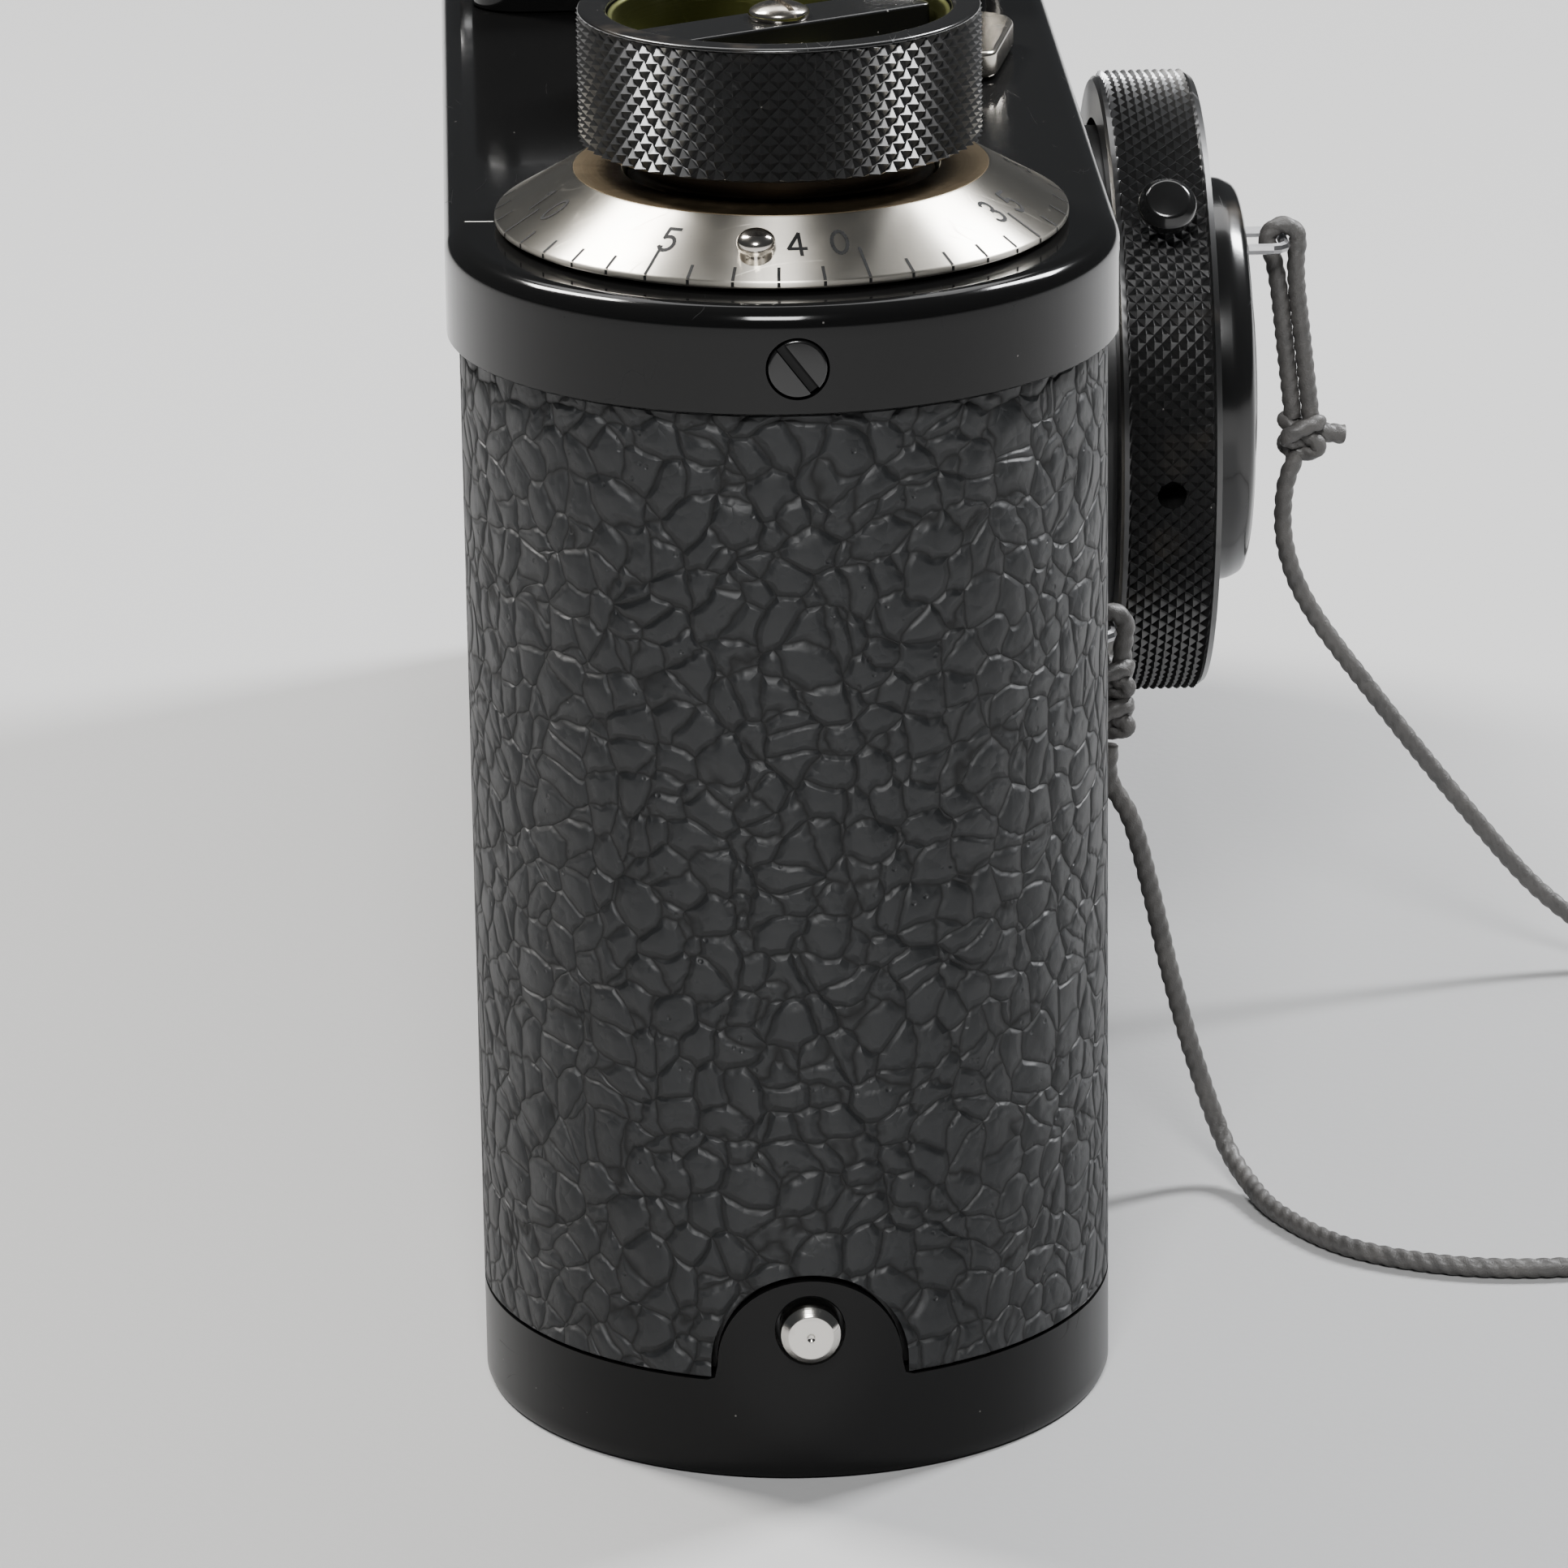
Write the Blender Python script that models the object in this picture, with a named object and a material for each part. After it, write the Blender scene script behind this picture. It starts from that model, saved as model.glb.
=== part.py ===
"""A 35 mm rangefinder camera in black paint, with a collapsible lens and a tethered cap.

Frame: +Z up, the lens looks along -Y, the film-wind knob is at the -X end.
The origin is the centre of the base plate's bottom face. Sizes are in metres.
"""

import math

import bmesh
import bpy
from mathutils import Matrix, Vector

MM = 0.001

# ---- body -------------------------------------------------------------------
GAP = 0.30 * MM                  # left between pieces that touch
BODY_LENGTH = 133.0 * MM
BODY_DEPTH = 30.0 * MM
BODY_HEIGHT = 46.8 * MM          # between base plate and top plate
COVER_WALL = 0.6 * MM
SHELL_WALL = 1.0 * MM
BASE_HEIGHT = 4.86 * MM
BASE_WALL = 1.1 * MM
BASE_FLOOR = 1.2 * MM
TAB_HALF_WIDTH = 4.3 * MM
TAB_RISE = 5.09 * MM             # top of the tab above the base plate's rim
STUD_RADIUS = 1.40 * MM
STUD_LENGTH = 1.5 * MM
STUD_ABOVE_RIM = 2.64 * MM
TOP_HEIGHT = 4.94 * MM
TOP_OVERHANG = 0.56 * MM
TOP_WALL = 1.1 * MM
TOP_FILLET = 1.0 * MM
END_SCREW_RADIUS = 1.33 * MM
END_SCREW_DROP = 2.8 * MM        # below the top plate's top face

# ---- winding end ------------------------------------------------------------
DIAL_RADIUS = 13.22 * MM
DIAL_FLAT_RADIUS = 9.64 * MM
DIAL_EDGE = 0.28 * MM
DIAL_RISE = 2.07 * MM
DIAL_DIVISIONS = 40
PIN_RADIUS = 0.88 * MM
PIN_CIRCLE = 11.5 * MM
PIN_ANGLE = math.radians(172)
BUSH_RADIUS = 7.0 * MM
BUSH_HEIGHT = 3.4 * MM
KNOB_RADIUS = 9.3 * MM
KNOB_HEIGHT = 6.2 * MM
KNOB_WALL = 1.4 * MM
CUP_DEPTH = 3.4 * MM
BAR_WIDTH = 3.2 * MM
BAR_HEIGHT = 1.5 * MM
BAR_ANGLE = math.radians(-61)
KNOB_SCREW_RADIUS = 1.45 * MM
SHAFT_RADIUS = 2.3 * MM
SPOOL_CORE = 5.5 * MM
SPOOL_FLANGE = 11.0 * MM
SPROCKET_RADIUS = 4.6 * MM
SPROCKET_TOOTH = 0.9 * MM
SPROCKET_FROM_WIND = 18.0 * MM
SPROCKET_BACK = 5.3 * MM
FILM_WIDTH = 35.0 * MM

# ---- controls on the top ----------------------------------------------------
SPEED_FROM_WIND = 24.8 * MM
SPEED_RADIUS = 7.4 * MM
SPEED_GRIP = 5.6 * MM
SPEED_HEIGHT = 6.0 * MM
SPINDLE_RADIUS = 1.5 * MM
RELEASE_FROM_WIND = 15.5 * MM
RELEASE_FRONT = 6.0 * MM
RELEASE_RADIUS = 1.6 * MM
COLLAR_RADIUS = 3.0 * MM
LEVER_FROM_WIND = 32.5 * MM
LEVER_FRONT = 10.8 * MM
LEVER_BOSS = 2.2 * MM
LEVER_REACH = 6.0 * MM
LEVER_TIP = 1.0 * MM
REWIND_RADIUS = 7.6 * MM
REWIND_HEIGHT = 6.0 * MM
REWIND_SHAFT = 1.6 * MM
CASSETTE_RADIUS = 12.2 * MM

# ---- finder housing ---------------------------------------------------------
HOUSING_START = 42.5 * MM        # from the winding axis
HOUSING_LENGTH = 50.0 * MM
HOUSING_FRONT = 12.5 * MM
HOUSING_BACK = 14.0 * MM
HOUSING_HEIGHT = 8.2 * MM
HOUSING_WALL = 1.0 * MM
HOUSING_CORNER = 2.6 * MM
RF_WINDOW_RADIUS = 3.1 * MM
RF_BASE = 38.0 * MM              # between the two rangefinder windows
FINDER_WIDTH = 9.0 * MM
FINDER_HEIGHT = 5.2 * MM
EYEPIECE_RADIUS = 2.7 * MM
EYEPIECE_PITCH = 7.5 * MM
SHOE_WIDTH = 21.0 * MM
SHOE_LENGTH = 18.0 * MM
SHOE_WALL = 1.2 * MM
SHOE_SLOT = 2.1 * MM

# ---- lens -------------------------------------------------------------------
LENS_ABOVE_RIM = 28.94 * MM      # lens axis above the base plate's rim
FLANGE_RADIUS = 16.0 * MM
FLANGE_THICK = 2.8 * MM
SLEEVE_RADIUS = 13.6 * MM
FOCUS_RADIUS = 16.5 * MM
FOCUS_WIDTH = 5.2 * MM
FOCUS_GAP = 1.5 * MM             # flange to focus ring
FOCUS_TRAVEL = 2.6 * MM
TUBE_RADIUS = 9.7 * MM
TUBE_WALL = 1.0 * MM
TUBE_LENGTH = 26.7 * MM
CAP_WALL = 0.7 * MM
CAP_DISC = 0.6 * MM
CAP_SKIRT = 4.1 * MM
CAP_BOSS = 6.6 * MM
CAP_BOSS_RISE = 0.4 * MM
CATCH_RADIUS = 1.5 * MM
CATCH_ANGLE = math.radians(135)  # around the lens, from +X towards +Z
CATCH_TRAVEL = 0.8 * MM

# ---- cord and its fittings --------------------------------------------------
CORD_RADIUS = 0.5 * MM
STAPLE_WIRE = 0.3 * MM
STAPLE_HALF = 1.8 * MM
CAP_BAIL_Z = 7.5 * MM            # above the lens axis
EYELET_X = -30.0 * MM
EYELET_Z = 29.6 * MM
KNOT_RADIUS = 1.35 * MM

# ---- base lock --------------------------------------------------------------
LOCK_FROM_END = 18.5 * MM
LOCK_RADIUS = 7.8 * MM
WELL_RADIUS = 6.8 * MM
KEY_RADIUS = 6.0 * MM
TRIPOD_FROM_END = 22.5 * MM
TRIPOD_BORE = 3.1 * MM
TRIPOD_RADIUS = 6.0 * MM

# ---- derived ----------------------------------------------------------------
COVER_R = BODY_DEPTH / 2
AXIS_X = BODY_LENGTH / 2 - COVER_R
SHELL_R = COVER_R - COVER_WALL - GAP
SHELL_IN = SHELL_R - SHELL_WALL
TOP_Z0 = BASE_HEIGHT + BODY_HEIGHT
TOP_Z = TOP_Z0 + TOP_HEIGHT
CEILING = TOP_Z - TOP_WALL
WIND_X = -AXIS_X
LENS_Z = BASE_HEIGHT + LENS_ABOVE_RIM
STUD_Z = BASE_HEIGHT + STUD_ABOVE_RIM
FRONT = -COVER_R
DIAL_Z0 = TOP_Z + GAP
DIAL_TOP = DIAL_Z0 + DIAL_EDGE + DIAL_RISE
BUSH_TOP = DIAL_Z0 + BUSH_HEIGHT
KNOB_Z0 = BUSH_TOP + GAP
KNOB_TOP = KNOB_Z0 + KNOB_HEIGHT
BAR_Z0 = KNOB_TOP - BAR_HEIGHT - 0.7 * MM
HOUSING_X0 = WIND_X + HOUSING_START
HOUSING_X1 = HOUSING_X0 + HOUSING_LENGTH
HOUSING_Z0 = TOP_Z + GAP
HOUSING_TOP = HOUSING_Z0 + HOUSING_HEIGHT
FLANGE_BACK = -FRONT - COVER_WALL          # distances forward of y = 0
FLANGE_FACE = FLANGE_BACK + FLANGE_THICK
RING_BACK = FLANGE_FACE + FOCUS_GAP
RING_FACE = RING_BACK + FOCUS_WIDTH
SLEEVE_FACE = RING_FACE - GAP
CAP_INSIDE = RING_FACE + 1.8 * MM
TUBE_FACE = CAP_INSIDE - FOCUS_TRAVEL - 0.4 * MM
SKIRT_BACK = CAP_INSIDE - CAP_SKIRT
SKIRT_IN = TUBE_RADIUS + GAP
CAP_R = SKIRT_IN + CAP_WALL
SLEEVE_BORE = TUBE_RADIUS + 0.4 * MM
COUNTERBORE = CAP_R + 0.4 * MM
COUNTERBORE_BACK = SKIRT_BACK - FOCUS_TRAVEL - 0.4 * MM
SLEEVE_BACK = COUNTERBORE_BACK - 9.6 * MM
FILM_Z0 = LENS_Z - FILM_WIDTH / 2
FILM_Z1 = LENS_Z + FILM_WIDTH / 2
STEPS = 28


def material(name, colour, roughness, metallic):
    """Returns a Principled material."""
    mat = bpy.data.materials.new(name)
    mat.use_nodes = True
    shader = mat.node_tree.nodes["Principled BSDF"]
    shader.inputs["Base Color"].default_value = (*colour, 1)
    shader.inputs["Roughness"].default_value = roughness
    shader.inputs["Metallic"].default_value = metallic
    return mat


FINISHES = {
    "black_paint": ((0.012, 0.012, 0.013), 0.22, 0.0),
    "black_rubber": ((0.010, 0.010, 0.010), 0.42, 0.0),
    "nickel": ((0.62, 0.58, 0.50), 0.25, 1.0),
    "brass": ((0.45, 0.30, 0.13), 0.35, 1.0),
    "steel": ((0.35, 0.35, 0.36), 0.35, 1.0),
    "dark_steel": ((0.06, 0.06, 0.065), 0.4, 1.0),
    "glass": ((0.55, 0.6, 0.65), 0.03, 0.0),
    "cloth": ((0.01, 0.01, 0.01), 0.9, 0.0),
    "cord": ((0.02, 0.02, 0.02), 0.6, 0.0),
}


class Assembly:
    """Adds each piece with its own material, under an empty on its joint."""

    def __init__(self):
        self.frames = {}

    def frame(self, name, at):
        """Makes an empty at a joint or a group's own origin."""
        empty = bpy.data.objects.new(name + "_frame", None)
        empty.location = at
        bpy.context.collection.objects.link(empty)
        self.frames[name] = empty
        return empty

    def piece(self, name, bm, finish, frame, smooth=35):
        """Turns a bmesh in world coordinates into a named object."""
        bmesh.ops.recalc_face_normals(bm, faces=bm.faces)
        parent = self.frames[frame]
        bmesh.ops.translate(bm, verts=bm.verts, vec=-parent.location)
        mesh = bpy.data.meshes.new(name)
        bm.to_mesh(mesh)
        bm.free()
        mesh.shade_smooth()
        mesh.set_sharp_from_angle(angle=math.radians(smooth))
        obj = bpy.data.objects.new(name, mesh)
        mesh.materials.append(material(name + "_finish", *FINISHES[finish]))
        bpy.context.collection.objects.link(obj)
        obj.parent = parent
        return obj

    def cut(self, obj, name, bm):
        """Cuts a shape out of a piece with a Boolean modifier."""
        bmesh.ops.recalc_face_normals(bm, faces=bm.faces)
        mesh = bpy.data.meshes.new(name)
        bm.to_mesh(mesh)
        bm.free()
        cutter = bpy.data.objects.new(name, mesh)
        cutter.hide_render = True
        cutter.display_type = "WIRE"
        bpy.context.collection.objects.link(cutter)
        modifier = obj.modifiers.new(name, "BOOLEAN")
        modifier.operation = "DIFFERENCE"
        modifier.solver = "EXACT"
        modifier.object = cutter


def loft(loops, closed=False):
    """Bridges loops of equal length, capping both ends unless they close."""
    bm = bmesh.new()
    rings = [[bm.verts.new(p) for p in loop] for loop in loops]
    count = len(rings[0])
    pairs = list(zip(rings, rings[1:]))
    if closed:
        pairs.append((rings[-1], rings[0]))
    else:
        bm.faces.new(rings[0])
        bm.faces.new(rings[-1])
    for low, high in pairs:
        for i in range(count):
            j = (i + 1) % count
            bm.faces.new((low[i], low[j], high[j], high[i]))
    return bm


def at_height(outline, z):
    """Lifts a flat outline to a height."""
    return [Vector((x, y, z)) for x, y in outline]


def prism(outline, z0, z1):
    return loft([at_height(outline, z0), at_height(outline, z1)])


def stadium(radius, steps=18, half=None):
    """Outline of the body: two half circles joined by straight sides."""
    half = AXIS_X if half is None else half
    points = []
    for side in (1, -1):
        for i in range(steps + 1):
            a = math.pi * (i / steps - 0.5)
            points.append((side * (half + radius * math.cos(a)), side * radius * math.sin(a)))
    return points


def rounded_box(x0, x1, y0, y1, corner, steps=3):
    """Outline of a rectangle with rounded corners."""
    points = []
    for cx, cy, start in ((x1 - corner, y1 - corner, 0), (x0 + corner, y1 - corner, 90),
                          (x0 + corner, y0 + corner, 180), (x1 - corner, y0 + corner, 270)):
        for i in range(steps + 1):
            a = math.radians(start + 90 * i / steps)
            points.append((cx + corner * math.cos(a), cy + corner * math.sin(a)))
    return points


def circle(cx, cy, radius, steps=22):
    return [(cx + radius * math.cos(2 * math.pi * i / steps),
             cy + radius * math.sin(2 * math.pi * i / steps)) for i in range(steps)]


def rounded_pan(outline, z_open, z_closed, wall, floor, fillet):
    """An open pan from an outline function of the inset, with a rounded rim."""
    sign = 1 if z_closed > z_open else -1
    loops = [at_height(outline(wall), z_closed - sign * floor),
             at_height(outline(wall), z_open), at_height(outline(0), z_open)]
    for i in range(4):
        a = math.radians(90 * i / 3)
        loops.append(at_height(outline(fillet * (1 - math.cos(a))),
                               z_closed - sign * fillet * (1 - math.sin(a))))
    return loft(loops)


def turned(profile, centre, axis=(0, 0, 1), ring=False, steps=STEPS):
    """Spins (radius, distance) points about an axis through a centre."""
    bm = bmesh.new()
    verts = [bm.verts.new((r, 0, a)) for r, a in profile]
    pairs = list(zip(verts, verts[1:]))
    if ring:
        pairs.append((verts[-1], verts[0]))
    edges = [bm.edges.new(pair) for pair in pairs]
    bmesh.ops.spin(bm, geom=verts + edges, cent=(0, 0, 0), axis=(0, 0, 1),
                   angle=2 * math.pi, steps=steps, use_merge=True, use_duplicate=False)
    bmesh.ops.remove_doubles(bm, verts=bm.verts, dist=1e-7)
    turn = Vector((0, 0, 1)).rotation_difference(Vector(axis)).to_matrix().to_4x4()
    bm.transform(Matrix.Translation(Vector(centre)) @ turn)
    return bm


def rod(centre, axis, radius, low, high, steps=24):
    """A plain cylinder between two distances along an axis."""
    return turned([(0, low), (radius, low), (radius, high), (0, high)], centre, axis, steps=steps)


def tube(centre, axis, inner, outer, low, high, steps=STEPS, edge=0.0):
    """A plain ring, with its outer front edge broken."""
    profile = [(inner, low), (outer, low), (outer, high - edge), (outer - edge, high), (inner, high)]
    if not edge:
        profile.pop(3)
        profile[2] = (outer, high)
    return turned(profile, centre, axis, ring=True, steps=steps)


def block(x0, x1, y0, y1, z0, z1):
    return prism([(x0, y0), (x1, y0), (x1, y1), (x0, y1)], z0, z1)


def sideways(outline, x0, x1):
    """Extrudes a (y, z) outline along X."""
    return loft([[Vector((x, y, z)) for y, z in outline] for x in (x0, x1)])


def smooth_path(points, spacing):
    """Reads evenly spaced points from a smooth curve through given ones."""
    fine = []
    ends = [points[0] * 2 - points[1]] + points + [points[-1] * 2 - points[-2]]
    for p0, p1, p2, p3 in zip(ends, ends[1:], ends[2:], ends[3:]):
        for i in range(20):
            t = i / 20
            fine.append(0.5 * ((2 * p1) + (p2 - p0) * t + (2 * p0 - 5 * p1 + 4 * p2 - p3) * t ** 2
                               + (3 * p1 - p0 - 3 * p2 + p3) * t ** 3))
    fine.append(points[-1])
    total = sum((b - a).length for a, b in zip(fine, fine[1:]))
    count = max(4, round(total / spacing))
    result, travelled, target = [fine[0]], 0.0, total / count
    for a, b in zip(fine, fine[1:]):
        step = (b - a).length
        while step and travelled + step >= target - 1e-9 and len(result) < count:
            result.append(a.lerp(b, (target - travelled) / step))
            target += total / count
        travelled += step
    result.append(fine[-1])
    return result


def wire(asm, name, points, radius, finish, frame, resolution=2):
    """A round wire or cord along points: a bevelled curve with filled caps."""
    origin = asm.frames[frame].location
    curve = bpy.data.curves.new(name, "CURVE")
    curve.dimensions = "3D"
    curve.bevel_depth = radius
    curve.bevel_resolution = resolution
    curve.use_fill_caps = True
    spline = curve.splines.new("POLY")
    spline.points.add(len(points) - 1)
    for slot, p in zip(spline.points, points):
        slot.co = (*(p - origin), 1)
    obj = bpy.data.objects.new(name, curve)
    curve.materials.append(material(name + "_finish", *FINISHES[finish]))
    bpy.context.collection.objects.link(obj)
    obj.parent = asm.frames[frame]
    return obj


def staple(asm, name, x, root_y, bar_y, z, frame):
    """A bent wire standing on a face: two legs and a bar along X."""
    bend = 0.7 * MM
    points = [Vector((x - STAPLE_HALF, root_y, z))]
    for cx, start in ((x - STAPLE_HALF + bend, 180), (x + STAPLE_HALF - bend, 270)):
        for i in range(4):
            a = math.radians(start + 30 * i)
            points.append(Vector((cx + bend * math.cos(a), bar_y + bend + bend * math.sin(a), z)))
    points.append(Vector((x + STAPLE_HALF, root_y, z)))
    wire(asm, name, points, STAPLE_WIRE, "steel", frame)


def cord_bight(asm, name, x, bar_y, z, length, frame, pinch=0.0):
    """A cord passed over a staple's bar, with both strands hanging."""
    r = STAPLE_WIRE + GAP + CORD_RADIUS
    points = [Vector((x, bar_y + (r - pinch), z - length))]
    points += [Vector((x, bar_y + r, z - length * 0.3))] if length > 3 * MM else []
    for i in range(9):
        a = math.pi * i / 8
        points.append(Vector((x, bar_y + r * math.cos(a), z + r * math.sin(a))))
    points += [Vector((x, bar_y - r, z - length * 0.3))] if length > 3 * MM else []
    points.append(Vector((x, bar_y - (r - pinch), z - length)))
    wire(asm, name, points, CORD_RADIUS, "cord", frame)


def knot(asm, name, x, y, top, height, frame):
    """A tight overhand knot, as a plain barrel."""
    profile = [(0, 0), (0.6, 0), (0.93, 0.18), (1, 0.5), (0.93, 0.82), (0.6, 1), (0, 1)]
    asm.piece(name, turned([(KNOT_RADIUS * r, height * a) for r, a in profile],
                           (x, y, top - height), steps=12), "cord", frame)


def front(x, z):
    """A point on the lens side's reference plane; profiles run forward from it."""
    return Vector((x, 0, z))


FORWARD = (0, -1, 0)


def build_body(asm):
    """Shell, covering, top plate, base plate and their fasteners."""
    z0, z1 = BASE_HEIGHT + GAP, TOP_Z0 - GAP

    def pipe(outer, inner, low, high, steps=18):
        return loft([at_height(stadium(outer, steps), low), at_height(stadium(outer, steps), high),
                     at_height(stadium(inner, steps), high), at_height(stadium(inner, steps), low)],
                    closed=True)

    shell = asm.piece("body_shell", pipe(SHELL_R, SHELL_IN, z0, z1), "brass", "body")
    asm.cut(shell, "shell_lens_hole",
            rod(front(0, LENS_Z), FORWARD, SLEEVE_RADIUS + 0.7 * MM, COVER_R * 0.5, COVER_R + 4 * MM, 48))

    cover = asm.piece("body_covering", pipe(COVER_R, COVER_R - COVER_WALL, z0, z1), "black_rubber", "body")
    asm.cut(cover, "cover_lens_hole",
            rod(front(0, LENS_Z), FORWARD, FLANGE_RADIUS + GAP, COVER_R * 0.5, COVER_R + 4 * MM, 48))
    asm.cut(cover, "cover_tab_hole", sideways(tab_outline(GAP, BASE_HEIGHT - 1 * MM),
                                              -AXIS_X - COVER_R - 2 * MM, -AXIS_X - COVER_R * 0.8))

    top = asm.piece("top_plate",
                    rounded_pan(lambda inset: stadium(COVER_R + TOP_OVERHANG - inset), TOP_Z0, TOP_Z,
                                TOP_WALL, TOP_WALL, TOP_FILLET), "black_paint", "body")
    holes = [("wind", WIND_X, 0, SHAFT_RADIUS), ("rewind", AXIS_X, 0, REWIND_SHAFT + 1.7 * MM),
             ("speed", WIND_X + SPEED_FROM_WIND, 0, SPINDLE_RADIUS),
             ("release", WIND_X + RELEASE_FROM_WIND, -RELEASE_FRONT, RELEASE_RADIUS)]
    for name, x, y, radius in holes:
        asm.cut(top, name + "_hole", rod((x, y, 0), (0, 0, 1), radius + GAP,
                                         CEILING - 2 * MM, TOP_Z + 2 * MM))
    asm.cut(top, "arm_slot", block(-1.4 * MM, 1.4 * MM, -9 * MM, 3.5 * MM, CEILING - 2 * MM, TOP_Z + 2 * MM))
    screw_z = TOP_Z - END_SCREW_DROP
    for side, name in ((-1, "end_screw_near"), (1, "end_screw_far")):
        outer = AXIS_X + COVER_R + TOP_OVERHANG
        asm.cut(top, name + "_hole", rod((0, 0, screw_z), (side, 0, 0), END_SCREW_RADIUS + 0.12 * MM,
                                         outer - 3 * MM, outer + 2 * MM))
        head = rod((0, 0, screw_z), (side, 0, 0), END_SCREW_RADIUS, outer - 1.6 * MM,
                   outer + 0.05 * MM)
        screw = asm.piece(name, head, "black_paint", "body")
        slot = block(-0.2 * MM, 0.2 * MM, -3 * MM, 3 * MM, -0.35 * MM, 0.6 * MM)
        turn = Matrix.Rotation(math.radians(-53), 4, "Z")
        aim = Vector((0, 0, 1)).rotation_difference(Vector((side, 0, 0))).to_matrix().to_4x4()
        slot.transform(Matrix.Translation((side * outer, 0, screw_z)) @ aim @ turn)
        asm.cut(screw, name + "_slot", slot)


def tab_outline(grow, low):
    """(y, z) outline of the base plate's end tab, grown by a clearance."""
    radius = TAB_HALF_WIDTH + grow
    centre = BASE_HEIGHT + TAB_RISE - TAB_HALF_WIDTH
    points = [(-radius, low), (radius, low)]
    for i in range(17):
        a = math.pi * i / 16
        points.append((radius * math.cos(a), centre + radius * math.sin(a)))
    return points


def build_base(asm):
    """Base plate with its end tab, tripod boss, lock disc and folding key."""
    crown = BASE_HEIGHT + TAB_RISE + 1 * MM
    base = asm.piece("base_plate", prism(stadium(COVER_R), 0, crown), "black_paint", "base")
    end = AXIS_X + COVER_R
    asm.cut(base, "base_inside", prism(stadium(COVER_R - BASE_WALL), BASE_FLOOR, crown + 1 * MM))
    asm.cut(base, "above_rim", block(-end + 3 * MM, end + 2 * MM, -2 * COVER_R, 2 * COVER_R,
                                     BASE_HEIGHT, crown + 1 * MM))
    arch = tab_outline(0, BASE_HEIGHT)[2:]
    outside = [(-2 * COVER_R, BASE_HEIGHT), (-2 * COVER_R, crown + 1 * MM),
               (2 * COVER_R, crown + 1 * MM), (2 * COVER_R, BASE_HEIGHT), (TAB_HALF_WIDTH, BASE_HEIGHT)]
    asm.cut(base, "around_tab", sideways(outside + arch + [(-TAB_HALF_WIDTH, BASE_HEIGHT)],
                                         -end - 2 * MM, -end + 4 * MM))
    asm.cut(base, "tab_back", prism(stadium(COVER_R - COVER_WALL), BASE_HEIGHT, crown + 1 * MM))
    asm.cut(base, "tab_hole", rod((0, 0, STUD_Z), (-1, 0, 0), STUD_RADIUS + GAP, end - 4 * MM,
                                  end + 2 * MM))
    lock_x = end - LOCK_FROM_END
    asm.cut(base, "key_well", rod((lock_x, 0, 0), (0, 0, 1), WELL_RADIUS, -1 * MM, BASE_FLOOR + 1 * MM, 40))
    boss_x = -end + TRIPOD_FROM_END
    asm.cut(base, "boss_hole", rod((boss_x, 0, 0), (0, 0, 1), TRIPOD_BORE, -1 * MM, BASE_FLOOR + 1 * MM))

    asm.piece("base_stud", turned([(0, end - COVER_WALL), (STUD_RADIUS, end - COVER_WALL),
                                   (STUD_RADIUS, end + 0.6 * MM), (STUD_RADIUS - 0.3 * MM, end + 0.9 * MM),
                                   (0, end + 0.9 * MM)], (0, 0, STUD_Z), (-1, 0, 0), steps=22),
              "nickel", "body")
    asm.piece("tripod_boss", tube((boss_x, 0, 0), (0, 0, 1), TRIPOD_BORE, TRIPOD_RADIUS,
                                  BASE_FLOOR + GAP, BASE_FLOOR + 4.4 * MM, 22), "steel", "base")
    disc_z = BASE_FLOOR + GAP
    asm.piece("base_lock_disc", turned([(0, disc_z), (LOCK_RADIUS, disc_z), (LOCK_RADIUS, disc_z + 1.2 * MM),
                                        (2.5 * MM, disc_z + 1.2 * MM), (2.5 * MM, disc_z + 2.6 * MM),
                                        (0, disc_z + 2.6 * MM)], (lock_x, 0, 0)), "nickel", "lock")
    outer, inner = [], []
    for i in range(36):
        a = 2 * math.pi * i / 36
        outer.append((lock_x + KEY_RADIUS * math.cos(a), max(KEY_RADIUS * math.sin(a), -0.8 * MM)))
        inner.append((lock_x + (KEY_RADIUS - 1.6 * MM) * math.cos(a),
                      max((KEY_RADIUS - 1.6 * MM) * math.sin(a), 0.8 * MM)))
    low, high = 0.25 * MM, 0.85 * MM
    asm.piece("base_key", loft([at_height(outer, low), at_height(outer, high),
                                at_height(inner, high), at_height(inner, low)], closed=True),
              "nickel", "key")


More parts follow.
